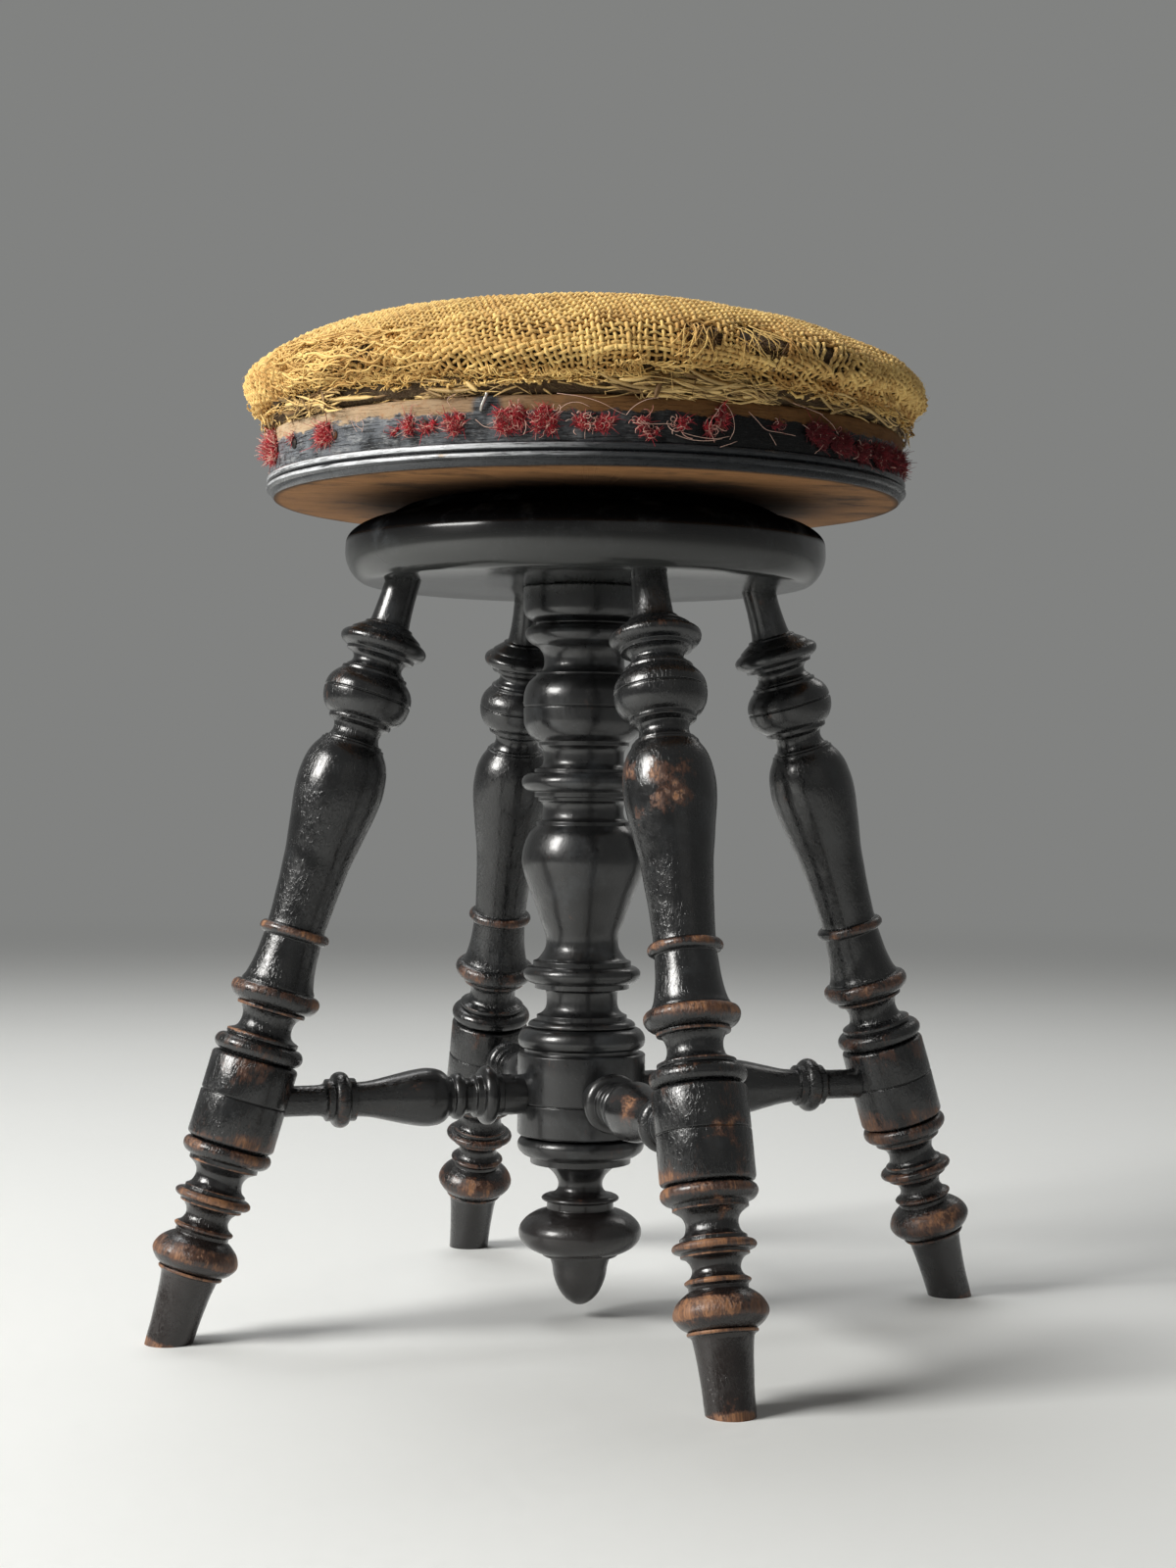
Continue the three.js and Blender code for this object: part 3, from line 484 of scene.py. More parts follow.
def finish_piece(piece, material, body, slot_name, *nodes):
    piece.data.materials.clear()
    piece.data.materials.append(material)
    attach(piece, body)
    if nodes:
        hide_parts(*nodes)


# Strands: yarns, straws, threads and fibres


class Strands:
    """Gathers thin tubes and blades, and makes one mesh of them."""

    def __init__(self, sides=4):
        self.sides = sides
        self.points, self.quads, self.caps, self.shades = [], [], [], []
        self.count = 0

    def add(self, line, wide, thick, up, tint):
        line = np.asarray(line, float)
        if len(line) < 2:
            return
        along = np.gradient(line, axis=0)
        along /= np.maximum(np.linalg.norm(along, axis=1), 1e-9)[:, None]
        up = np.broadcast_to(np.asarray(up, float), line.shape)
        side = np.cross(along, up)
        side /= np.maximum(np.linalg.norm(side, axis=1), 1e-9)[:, None]
        over = np.cross(side, along)
        turns = np.arange(self.sides) * FULL_TURN / self.sides
        wide = np.broadcast_to(wide, len(line))[:, None, None]
        thick = np.broadcast_to(thick, len(line))[:, None, None]
        rings = (
            line[:, None, :]
            + side[:, None, :] * np.cos(turns)[None, :, None] * wide
            + over[:, None, :] * np.sin(turns)[None, :, None] * thick
        )
        number = self.count + np.arange(len(line) * self.sides).reshape(len(line), self.sides)
        on = np.roll(number, -1, axis=1)
        self.quads.append(np.stack([number[:-1], number[1:], on[1:], on[:-1]], -1).reshape(-1, 4))
        self.caps += [number[0], number[-1][::-1]]
        self.points.append(rings.reshape(-1, 3))
        self.shades.append(np.repeat(np.broadcast_to(tint, len(line)), self.sides))
        self.count += len(line) * self.sides

    def piece(self, name):
        points = np.concatenate(self.points) * MM
        faces = np.concatenate(self.quads)
        caps = np.array(self.caps)
        mesh = bpy.data.meshes.new(name)
        corners = np.concatenate([faces.ravel(), caps.ravel()])
        totals = np.concatenate([np.full(len(faces), 4), np.full(len(caps), self.sides)])
        starts = np.concatenate([[0], np.cumsum(totals)[:-1]])
        mesh.vertices.add(len(points))
        mesh.loops.add(len(corners))
        mesh.polygons.add(len(totals))
        mesh.vertices.foreach_set("co", points.astype(np.float32).ravel())
        mesh.loops.foreach_set("vertex_index", corners.astype(np.int32))
        mesh.polygons.foreach_set("loop_start", starts.astype(np.int32))
        mesh.polygons.foreach_set("loop_total", totals.astype(np.int32))
        mesh.polygons.foreach_set("use_smooth", np.ones(len(totals), bool))
        mesh.update(calc_edges=True)
        add_attribute(mesh, "shade", np.concatenate(self.shades))
        piece = bpy.data.objects.new(name, mesh)
        bpy.context.scene.collection.objects.link(piece)
        return piece


# The seat's form


class SeatForm:
    """The crown's surface as a place for each distance from the crown and each turn round it."""

    def __init__(self, rows):
        self.line = through(rows)
        self.reach = line_lengths(self.line)

    def settled(self, radius, height, turn):
        outward = radius / COVER_RADIUS
        upward = (height - BOARD_TOP) / COVER_RISE
        droop = -CROWN_DROOP * outward**2 * np.cos(turn - DROOP_TURN * FULL_TURN)
        lump = sum(size * np.sin(count * turn + phase * FULL_TURN) for count, size, phase in SEAT_WAVES)
        lump = lump * outward**2 * upward
        return radius + lump, height + droop * upward + lump

    def at(self, distance, turn):
        radius = np.interp(distance, self.reach, self.line[:, 0])
        height = np.interp(distance, self.reach, self.line[:, 1])
        radius, height = self.settled(radius, height, turn)
        return round_axis(radius, turn, height)

    def outward(self, distance, turn):
        step = 1.0
        along = self.at(distance + step, turn) - self.at(np.maximum(distance - step, 0), turn)
        round_about = np.stack([-np.sin(turn), np.cos(turn), np.zeros_like(turn)], -1)
        found = np.cross(round_about, along)
        found /= np.maximum(np.linalg.norm(found, axis=-1), 1e-9)[..., None]
        return -found

    def spot(self, distance, turn):
        """A place on the crown and the way out of it."""
        distance, turn = np.asarray(distance, float), np.asarray(turn, float)
        return self.at(distance, turn), self.outward(distance, turn)


COVER = SeatForm(COVER_LINE)


def on_band(turn_degrees, height, out=0.0):
    """A place on the board's band, in millimetres."""
    turn = math.radians(turn_degrees)
    radius = BAND_RADIUS + out
    return np.array((radius * math.cos(turn), radius * math.sin(turn), height))


# Materials: small helpers that place nodes and join them


class Value:
    """An output of a node. Sums, differences, products and quotients of values place the nodes for them."""

    def __init__(self, socket):
        self.socket, self.tree = socket, socket.id_data

    def __add__(self, other):
        return maths("ADD", self, other)

    def __radd__(self, other):
        return maths("ADD", other, self)

    def __sub__(self, other):
        return maths("SUBTRACT", self, other)

    def __rsub__(self, other):
        return maths("SUBTRACT", other, self)

    def __mul__(self, other):
        return maths("MULTIPLY", self, other)

    def __rtruediv__(self, other):
        return maths("DIVIDE", other, self)


def join(given, taker, key):
    """Links a value to an input of a node, or sets the input to a number or colour."""
    if isinstance(given, Value):
        taker.id_data.links.new(given.socket, taker.inputs[key])
    else:
        taker.inputs[key].default_value = given


def node(tree, kind, inputs=None, **settings):
    made = tree.nodes.new(kind)
    for key, setting in settings.items():
        setattr(made, key, setting)
    for key, given in (inputs or {}).items():
        join(given, made, key)
    return made


def outputs(made):
    """All outputs of a node by name."""
    return {socket.name: Value(socket) for socket in made.outputs}


def placed(tree, kind, inputs=None, output=0, **settings):
    """Places a node and gives one output of it."""
    return Value(node(tree, kind, inputs, **settings).outputs[output])


def maths(operation, first, second, clamp=False):
    tree = (first if isinstance(first, Value) else second).tree
    return placed(tree, "ShaderNodeMath", {0: first, 1: second}, operation=operation, use_clamp=clamp)


def larger(first, second):
    return maths("MAXIMUM", first, second)


def smaller(first, second):
    return maths("MINIMUM", first, second)


def eased(value, low, high):
    """0 below low, 1 above high and smooth between."""
    inputs = {"Value": value, "From Min": low, "From Max": high}
    return placed(value.tree, "ShaderNodeMapRange", inputs, "Result", interpolation_type="SMOOTHSTEP")


def ranged(value, low, high, to_low, to_high):
    inputs = {"Value": value, "From Min": low, "From Max": high, "To Min": to_low, "To Max": to_high}
    return placed(value.tree, "ShaderNodeMapRange", inputs, "Result")


def tone(value):
    return value if isinstance(value, Value) else (*value, 1)


def mixed(share, first, second):
    """The first colour with that share of the second."""
    tree = next(item.tree for item in (share, first, second) if isinstance(item, Value))
    inputs = {0: share, 6: tone(first), 7: tone(second)}
    return placed(tree, "ShaderNodeMix", inputs, 2, data_type="RGBA")


def blended(share, first, second):
    """The same for two plain colours."""
    return tuple(a + (b - a) * share for a, b in zip(first, second))


def clouds(place, size, detail=3.0, rough=0.55, twist=0.0, output=0):
    """Noise whose features are about size millimetres across."""
    inputs = {"Vector": place, "Scale": 1 / MM / size}
    inputs |= {"Detail": detail, "Roughness": rough, "Distortion": twist}
    return placed(place.tree, "ShaderNodeTexNoise", inputs, output)


def stretched(place, scale=(1, 1, 1), turns=(0, 0, 0)):
    """The place scaled after a turn by that many degrees round each axis."""
    inputs = {"Vector": place, "Rotation": [math.radians(turn) for turn in turns], "Scale": scale}
    return placed(place.tree, "ShaderNodeMapping", inputs)


def vectors(operation, first, second=None, output=0):
    inputs = {0: first} if second is None else {0: first, 1: second}
    return placed(first.tree, "ShaderNodeVectorMath", inputs, output, operation=operation)


def from_axis(place):
    """Distance from the upright axis."""
    return vectors("LENGTH", stretched(place, (1, 1, 0)), output="Value")


def attribute(tree, name, output="Fac"):
    settings = {"attribute_name": name, "attribute_type": "GEOMETRY"}
    return placed(tree, "ShaderNodeAttribute", None, output, **settings)


def object_place(tree):
    return placed(tree, "ShaderNodeTexCoord", None, "Object")


def split(place):
    """The place's parts along X, Y and Z."""
    return list(outputs(node(place.tree, "ShaderNodeSeparateXYZ", {0: place})).values())


def seen(tree):
    """1 for what the camera or the gloss sees, and 0 for what only lights the scene."""
    rays = outputs(node(tree, "ShaderNodeLightPath"))
    return larger(larger(rays["Is Camera Ray"], rays["Is Glossy Ray"]), rays["Is Transmission Ray"])


def new_group(name, sockets_in, sockets_out):
    """A shader node group with named sockets: (name, kind) or (name, kind, default)."""
    tree = bpy.data.node_groups.new(name, "ShaderNodeTree")
    for way, sockets in (("INPUT", sockets_in), ("OUTPUT", sockets_out)):
        for label, kind, *default in sockets:
            socket = tree.interface.new_socket(name=label, in_out=way, socket_type=kind)
            if default:
                socket.default_value = default[0]
    return tree, outputs(tree.nodes.new("NodeGroupInput")), tree.nodes.new("NodeGroupOutput")


VALUE, VECTOR = "NodeSocketFloat", "NodeSocketVector"


def rim_wear(name):
    """Where handling has rubbed a turned piece: on the rings' crests, in patches along the grain."""
    ins = [("Place", VECTOR), ("Proud", VALUE, 0.0), ("Amount", VALUE, 0.5), ("Most", VALUE, 0.4)]
    tree, given, out = new_group(name, ins, [("Mask", VALUE), ("Thin", VALUE)])
    wide = clouds(stretched(given["Place"], (1, 1, 0.6)), 15, 4, 0.62)
    streaks = clouds(stretched(given["Place"], (1, 1, 0.3)), 1.5, 5, 0.75)
    patchy = wide * 1.6 + streaks * 0.95 - 1.27
    rubbed = smaller(given["Proud"] * given["Amount"], given["Most"]) + patchy
    join(eased(rubbed, 0.55, 0.74), out, "Mask")
    join(eased(rubbed, 0.32, 0.56), out, "Thin")
    return tree


def wood_grain(name):
    """Streaks and pores of wood that runs along Z of the place that it is given."""
    ins = [("Place", VECTOR), ("Stretch", VALUE, 0.06)]
    tree, given, out = new_group(name, ins, [("Streaks", VALUE), ("Pores", VALUE)])
    scale = placed(tree, "ShaderNodeCombineXYZ", {0: 1.0, 1: 1.0, 2: given["Stretch"]})
    along = vectors("MULTIPLY", given["Place"], scale)
    both = clouds(along, 7, 5, 0.62, 0.6) * 0.65 + clouds(along, 1.1, 4, 0.7) * 0.45
    join(eased(both, 0.4, 0.72), out, "Streaks")
    join(eased(clouds(along, 0.5, 2, 0.5), 0.6, 0.7), out, "Pores")
    return tree


def crazed_lacquer(name):
    """Height of old lacquer that has wrinkled in patches, its pits as a mask, and pale specks that are partly
    dust and partly painted glints.
    """
    outs = [("Height", VALUE), ("Pits", VALUE), ("Specks", VALUE)]
    tree, given, out = new_group(name, [("Place", VECTOR)], outs)
    wrinkles = clouds(stretched(given["Place"], (1, 1, 0.42)), 1.5, 2.5, 0.6, 0.8)
    raised = eased(wrinkles, 0.38, 0.6)
    where = eased(clouds(given["Place"], 26, 4, 0.6), 0.36, 0.62)
    waves = clouds(stretched(given["Place"], (1, 1, 0.5)), 9, 2, 0.5)
    join(raised * ranged(where, 0, 1, 0.22, 1) + waves * 0.9, out, "Height")
    join((1.0 - raised) * where, out, "Pits")
    join(eased(clouds(given["Place"], 0.7, 2, 0.5), 0.68, 0.76), out, "Specks")
    return tree


def fibre_tint(name):
    """A strand's own tone, with changes along it: 0 dark to 1 light."""
    ins = [("Place", VECTOR), ("Shade", VALUE, 0.5), ("Drift", VALUE, 12.0)]
    tree, given, out = new_group(name, ins, [("Tone", VALUE), ("Hair", VALUE)])
    wide = clouds(given["Place"], given["Drift"], 4.0, 0.5)
    hair = clouds(given["Place"], 0.35, 3, 0.7)
    base = given["Shade"] + (wide - 0.5) * 1.3
    join(maths("ADD", base, (hair - 0.5) * 0.5, True), out, "Tone")
    join(hair, out, "Hair")
    return tree


def group(tree, name, build, **inputs):
    """The outputs of a node group, which is built when first asked for."""
    group_tree = bpy.data.node_groups.get(name) or build(name)
    return outputs(node(tree, "ShaderNodeGroup", inputs, node_tree=group_tree))


def material(name, build):
    """The finish of that name, built when first asked for."""
    made = bpy.data.materials.get(name)
    if made:
        return made
    made = bpy.data.materials.new(name)
    made.use_nodes = True
    build(made.node_tree, made.node_tree.nodes["Principled BSDF"])
    return made


def relief(surface, height, distance):
    """A bump from a height of 0 to 1 that stands for distance millimetres."""
    inputs = {"Height": height, "Distance": distance * MM, "Strength": 1.0}
    join(placed(height.tree, "ShaderNodeBump", inputs), surface, "Normal")


def within(place, centre, reach, soft):
    """1 near a place, in metres, and 0 outside reach millimetres of it."""
    return eased(vectors("DISTANCE", place, centre, "Value"), reach * MM, (reach - soft) * MM)


# Spots where the lacquer is worn through: centre in metres, reach in millimetres
WORN_PATCHES = (
    ((-0.0073, -0.1476, 0.278), 17),
    ((-0.016, -0.148, 0.268), 10),
    ((-0.0185, -0.128, 0.279), 13),
    ((-0.01, 0.153, 0.283), 15),
    ((0.006, -0.196, 0.118), 11),
    ((0.0, -0.2, 0.09), 9),
    ((-0.004, -0.222, 0.004), 12),
    ((-0.009, -0.1, 0.122), 14),
    ((-0.2143, 0.0055, 0.026), 10),
    ((-0.2165, 0.005, 0.012), 10),
    ((-0.2175, 0.006, 0.002), 13),
)


# Heights in metres where a finish changes: at the platform's underside, and from the beads to the band
UNDER_PLATFORM = (0.385, 0.37)
BAND_FOOT = (0.4326, 0.4332)


def ebonised(tree, surface):
    """Black lacquer on turned wood, rubbed through on the legs' rings and most of all near the floor."""
    palette = colours()
    place = attribute(tree, "turning", "Vector")
    spot = object_place(tree)
    parts = split(spot)
    reach = from_axis(spot)
    used_side = eased(parts[0] + parts[1], 0.12, -0.2)
    low = eased(parts[2], 0.1, 0.035)
    lower = eased(parts[2], *UNDER_PLATFORM)
    legs = eased(reach, 0.07, 0.15) * lower
    drum = eased(parts[2], 0.101, 0.107) * eased(parts[2], 0.157, 0.151)
    amount = legs * 0.62 + 0.12 + low * legs * 0.95
    amount = amount * ranged(parts[2], 0.18, 0.28, 1, 0.36) * ranged(drum, 0, 1, 1, 0.42)
    often = low * ranged(used_side, 0, 1, 0.3, 1) * 0.06
    most = legs * used_side * 0.17 + 0.46
    proud = attribute(tree, "proud")
    rubbed = group(tree, "Rim wear", rim_wear, Place=place, Proud=proud, Amount=amount, Most=most + often)
    stray = vectors("SUBTRACT", clouds(spot, 50 / 3, 4.0, 0.65, output="Color"), (0.5, 0.5, 0.5))
    bent = vectors("ADD", spot, vectors("MULTIPLY", stray, (0.045, 0.045, 0.045)))
    patch = 0.0
    for centre, size in WORN_PATCHES:
        patch = larger(within(bent, centre, size, size), patch)
    broken = clouds(stretched(place, (1, 1, 0.5)), 2.2, 6, 0.8)
    patch = patch * ranged(broken, 0.3, 0.7, 0.1, 1.4)
    bare = larger(rubbed["Mask"], eased(patch, 0.5, 0.8)) * lower
    thin = larger(larger(rubbed["Thin"], eased(patch, 0.12, 0.5)), often * 2.0)
    grain = group(tree, "Wood grain", wood_grain, Place=place)
    scales = group(tree, "Crazed lacquer", crazed_lacquer, Place=place)
    film = eased(clouds(place, 24, 6, 0.66), 0.5, 0.72)
    top = eased(parts[2], *reversed(UNDER_PLATFORM))
    thin = thin * ranged(top, 0, 1, 1, 0.1)
    black = mixed(film * ranged(legs, 0, 1, 0.55, 0.26), palette.lacquer, palette.bloom)
    # A paler grey band low on the platform's rounded rim: partly dull haze, partly painted sheen where the
    # rim faces the floor.
    haze_and_sheen = top * eased(parts[2], 0.4, 0.388)
    black = mixed(haze_and_sheen * 0.7, black, (0.05, 0.052, 0.05))
    # Pale specks: partly dust, partly painted glints of the wrinkled lacquer.
    black = mixed(scales["Specks"] * 0.3, black, (0.12, 0.12, 0.115))
    black = mixed(thin * 0.7, black, palette.worn_dark)
    wood = mixed(grain["Streaks"], palette.worn_dark, palette.worn_wood)
    wood = mixed(grain["Pores"] * 0.7, wood, palette.lacquer)
    join(mixed(bare, black, wood), surface, "Base Color")
    dull = ranged(legs, 0, 1, 0.3, 0.2) - top * 0.14 + eased(parts[2], 0.408, 0.413) * 0.4
    dull = dull + ranged(clouds(place, 7, 4, 0.65), 0.3, 0.7, -0.06, 0.1)
    join(dull + bare * 0.18 + thin * 0.1 + scales["Pits"] * 0.12, surface, "Roughness")
    relief(surface, scales["Height"] * ranged(legs, 0, 1, 0.3, 1) + bare * -0.8, 0.13)
    join((1.0 - bare) * ranged(legs, 0, 1, 0.42, 0.18), surface, "Coat Weight")
    join(0.12, surface, "Coat Roughness")
    join(0.65, surface, "Specular IOR Level")


EBONISED = ("Ebonised wood", ebonised)


def ebonised_top(tree, surface):
    """The same lacquer on the platform, which has lost its gloss close under the seat."""
    ebonised(tree, surface)
    height = split(object_place(tree))[2]
    join(eased(height, 0.4028, 0.3992), surface, "Coat Weight")
    join(0.17, surface, "Coat Roughness")
    join(0.0, surface, "Specular IOR Level")


def seat_wood(tree, surface):
    """The board: raw underside, beads in old lacquer, a band of paint gone pale and raw pine over it. Painted
    light: the band's paint and its dust turn paler on the lit side as painted sheen, the beads' crests carry
    painted highlight lines, and the raw pine away from the light and the underside's middle are darkened as
    painted shade.
    """
    palette = colours()
    spot = object_place(tree)
    parts = split(spot)
    radius = from_axis(spot)
    lit_side = ranged(parts[0] * -0.9 + parts[1] * 0.12, -0.02, 0.15, 0.0, 1.0)
    ragged = clouds(stretched(spot, (1, 1, 2.4)), 11, 5, 0.7)
    edge = 0.4466 + (ragged - 0.5) * 0.011
    raw_top = eased(parts[2] - edge, -0.0004, 0.0008)
    raw_top = raw_top * (1.0 - within(spot, tuple(on_band(-124.6, 449) * MM), 9, 4))
    under = eased(0.4222 - parts[2], -0.0002, 0.0004) * eased(radius, 0.1618, 0.1608)
    level = stretched(spot, turns=(0, 90, -14))
    grain = group(tree, "Wood grain", wood_grain, Place=level, Stretch=0.05)
    around = maths("ARCTAN2", parts[1], parts[0]) * 0.163
    rolled = placed(tree, "ShaderNodeCombineXYZ", {0: around, 1: 0.0, 2: parts[2]})
    lines = clouds(stretched(rolled, (0.06, 1, 1)), 0.85, 4, 0.72)
    cracks = eased(lines, 0.475, 0.39)
    scratches = eased(clouds(stretched(rolled, (0.12, 1, 1.3)), 0.6, 3, 0.7), 0.54, 0.68)
    drift = clouds(spot, 14, 5, 0.65)
    band = eased(parts[2], *BAND_FOOT)
    beads = 1.0 - band
    # The band's paint and dust turn paler on the lit side: partly paint gone pale and dust, partly painted
    # sheen.
    faded_and_lit = lit_side * eased(drift, 0.28, 0.62) * ranged(band, 0, 1, 0.85, 1)
    paint = mixed(faded_and_lit, palette.lacquer, palette.band_paint)
    pale = blended(0.6, palette.band_paint, (0.46, 0.46, 0.45))
    dust = eased(clouds(stretched(rolled, (0.35, 1, 1)), 4, 5, 0.7), 0.5, 0.68)
    dust_and_sheen = lit_side * ranged(band, 0, 1, 0.8, 1) * dust
    # Scratches show pale mostly on the lit side, as painted glints.
    dust_and_sheen = larger(dust_and_sheen, scratches * ranged(lit_side, 0, 1, 0.06, 0.9))
    paint = mixed(dust_and_sheen, paint, pale)
    paint = mixed(ranged(beads, 0, 1, 0, 0.86), paint, (0.014, 0.016, 0.019))
    proud = attribute(tree, "proud")
    # Painted highlights: pale lines along the beads' crests, broken up and mostly on the lit side.
    crest = eased(proud, 0.5, 0.8) * beads
    crest = crest * eased(clouds(stretched(rolled, (0.1, 1, 1)), 2.4, 5, 0.7), 0.32, 0.52)
    paint = mixed(crest * ranged(lit_side, 0.24, 0.6, 0.04, 1), paint, (0.68, 0.7, 0.72))
    paint = mixed(cracks * ranged(beads, 0, 1, 0.85, 0.4), paint, (0.01, 0.01, 0.011))
    most = ranged(lit_side, 0, 1, 0.2, 0.42)
    rubbed = group(tree, "Rim wear", rim_wear, Place=stretched(rolled, (0.3, 1, 1)), Proud=proud, Most=most)
    rub = rubbed["Mask"] * beads
    dirt = clouds(spot, 5, 5, 0.7)
    raw = mixed(grain["Streaks"], blended(0.35, palette.raw_wood, palette.worn_wood), palette.raw_wood)
    raw = mixed(eased(dirt, 0.5, 0.75), raw, palette.worn_wood)
    # Painted shade: the raw pine turns dark brown away from the lit side.
    shaded = ranged(lit_side, 0.25, 1, 1, 0)
    raw = mixed(shaded, raw, mixed(dirt, (0.1, 0.044, 0.015), (0.22, 0.108, 0.038)))
    painted = mixed(rub, paint, mixed(grain["Streaks"], palette.worn_wood, palette.raw_wood))
    base = mixed(raw_top, painted, raw)
    below = mixed(grain["Streaks"], blended(0.6, palette.worn_dark, palette.underside), palette.underside)
    below = mixed(grain["Pores"] * 0.7, below, palette.worn_dark)
    scuffs = clouds(stretched(spot, (0.6, 1, 1)), 30, 7, 0.7)
    below = mixed(eased(scuffs, 0.48, 0.68) * 0.8, below, (0.03, 0.021, 0.016))
    below = mixed(eased(scuffs, 0.4, 0.3) * 0.6, below, palette.worn_wood)
    # Darker towards the middle of the underside, as painted shade under the seat, and darker at its outer
    # edge.
    shade_and_grime = eased(radius, 0.15, 0.1) + eased(radius, 0.1575, 0.161)
    below = mixed(maths("MULTIPLY", shade_and_grime, 0.75, True), below, (0.02, 0.016, 0.014))
    join(mixed(under, base, below), surface, "Base Color")
    bare = larger(raw_top, under)
    rough = larger(ranged(drift, 0.3, 0.7, 0.18, 0.36), dust_and_sheen * 0.45)
    join(larger(rough, bare * 0.78), surface, "Roughness")
    relief(surface, cracks * -0.7 + grain["Streaks"] * 0.3 + (1.0 - raw_top) * 0.5, 0.25)
    join(0.16, surface, "Specular IOR Level")
    covered = (1.0 - bare) * ranged(lit_side, 0, 1, 0.12, 1)
    join(covered * ranged(beads, 0, 1, 0.25, 1), surface, "Coat Weight")
    join(0.11, surface, "Coat Roughness")


def metal(tree, surface, bare, rust_share, shine):
    palette = colours()
    spot = object_place(tree)
    rust = eased(clouds(spot, 6, 5, 0.7), 0.72 - rust_share, 0.9 - rust_share)
    fine = clouds(spot, 0.8, 4, 0.7)
    base = mixed(fine * 0.5, bare, (0.02, 0.018, 0.017))
    join(mixed(rust, base, palette.rust), surface, "Base Color")
    join(1.0 - rust * 0.8, surface, "Metallic")
    join(ranged(fine, 0.3, 0.7, shine, shine + 0.2) + rust * 0.3, surface, "Roughness")
    relief(surface, fine + rust, 0.12)


def iron(tree, surface):
    metal(tree, surface, colours().iron, 0.25, 0.5)


def steel(tree, surface):
    metal(tree, surface, colours().steel, 0.12, 0.3)


IRON = ("Dark iron", iron)
STEEL = ("Bare steel", steel)


def strand_finish(tree, surface, dark, light, drift, rough):
    spot = object_place(tree)
    tint = group(tree, "Fibre tint", fibre_tint, Place=spot, Shade=attribute(tree, "shade"), Drift=drift)
    base = mixed(tint["Tone"], dark, light)
    join(base, surface, "Base Color")
    join(ranged(tint["Hair"], 0.3, 0.7, rough - 0.1, rough + 0.1), surface, "Roughness")
    relief(surface, tint["Hair"], 0.12)
    return base


def hessian(tree, surface):
    palette = colours()
    strand_finish(tree, surface, palette.jute_dark, palette.jute, 26.0, 0.85)
    join(0.08, surface, "Sheen Weight")
    join(0.5, surface, "Sheen Roughness")
    join((1, 0.8, 0.5, 1), surface, "Sheen Tint")


def straw(tree, surface):
    palette = colours()
    strand_finish(tree, surface, palette.hay_dark, palette.hay, 18.0, 0.55)


def plush(tree, surface):
    palette = colours()
    base = strand_finish(tree, surface, (0.1, 0.005, 0.01), palette.plush, 5.0, 0.9)
    # Paler where a strand's tone runs high: bleached plush, and on the lit left side painted light.
    bleached = eased(attribute(tree, "shade"), 0.82, 1.15)
    join(mixed(bleached, base, palette.plush_faded), surface, "Base Color")
    join(0.4, surface, "Sheen Weight")
    join(0.4, surface, "Sheen Roughness")
    join((0.9, 0.4, 0.38, 1), surface, "Sheen Tint")


def backing_thread(tree, surface):
    palette = colours()
    strand_finish(tree, surface, (0.42, 0.09, 0.08), palette.plush_faded, 3.0, 0.85)


def stuffing(tree, surface):
    """Matted hay: short strokes that lie every way, darkened most of the way to near black as painted shade,
    since the pad shows only deep in the hessian's gaps and holes and under its lip.
    """
    palette = colours()
    spot = object_place(tree)
    strokes = 0.0
    for turn, tilt in ((0, 20), (62, -25), (125, 10)):
        laid = stretched(spot, (0.12, 1, 1), (tilt, tilt * 1.7, turn))
        strokes = larger(clouds(laid, 1.5, 3, 0.6), strokes)
    light = eased(strokes, 0.48, 0.72)
    base = mixed(light, palette.hay_dark, blended(0.45, palette.hay_dark, palette.hay))
    # Painted shade: the pad is darkened three quarters of the way to near black.
    base = mixed(0.75, base, (0.03, 0.016, 0.006))
    join(base, surface, "Base Color")
    join(0.85, surface, "Roughness")
    relief(surface, light, 1.2)


def paint_floor(tree, surface):
    """A pale floor that runs into the backdrop far from the stool."""
    palette = colours()
    spot = object_place(tree)
    join(mixed(clouds(spot, 260, 5, 0.5) * 0.1, palette.floor, (0.6, 0.6, 0.6)), surface, "Base Color")
    join(ranged(clouds(spot, 9, 4, 0.6), 0.3, 0.7, 0.5, 0.66), surface, "Roughness")
    glow = placed(tree, "ShaderNodeEmission", {"Color": tone(palette.backdrop), "Strength": 1.0})
    share = eased(vectors("LENGTH", spot, output="Value"), 1.3, 4.2) * seen(tree)
    blend = placed(tree, "ShaderNodeMixShader", {0: share, 1: Value(surface.outputs[0]), 2: glow})
    join(blend, tree.nodes["Material Output"], "Surface")


# Building the pieces


def upright(turn):
    return Matrix.Rotation(turn, 4, "Z")


def cut_level(piece):
    """Cuts a leg's foot level with the floor."""
    make_active(piece)
    bpy.ops.object.mode_set(mode="EDIT")
    bpy.ops.mesh.select_all(action="SELECT")
    bpy.ops.mesh.bisect(plane_co=(0, 0, 0), plane_no=(0, 0, 1), use_fill=True, clear_inner=True)
    bpy.ops.object.mode_set(mode="OBJECT")


class STOOL_OT_turn_legs(bpy.types.Operator):
    """Turns one leg and sets four of them, splayed, under the platform"""

    bl_idname = "stool.turn_legs"
    bl_label = "Turn the legs"

    def execute(self, context):
        blank = turned("leg_blank", LEG_ROWS, sizes().leg_sides)
        for index, side in enumerate(LEG_NAMES):
            splayed = Matrix.Translation((FOOT_CIRCLE * MM, 0, 0)) @ Matrix.Rotation(-LEG_SPLAY, 4, "Y")
            leg = copied(blank, f"turned_leg_{side}", splayed, index * 0.83)
            put(leg, upright(index * FULL_TURN / 4))
            handled(leg, 0.03, 0.2 * MM, index)
            cut_level(leg)
            shade(leg)
            finish_piece(leg, material(*EBONISED), "stand", "ebonised_wood", f"leg_{side}")
        bpy.data.objects.remove(blank)
        return {"FINISHED"}


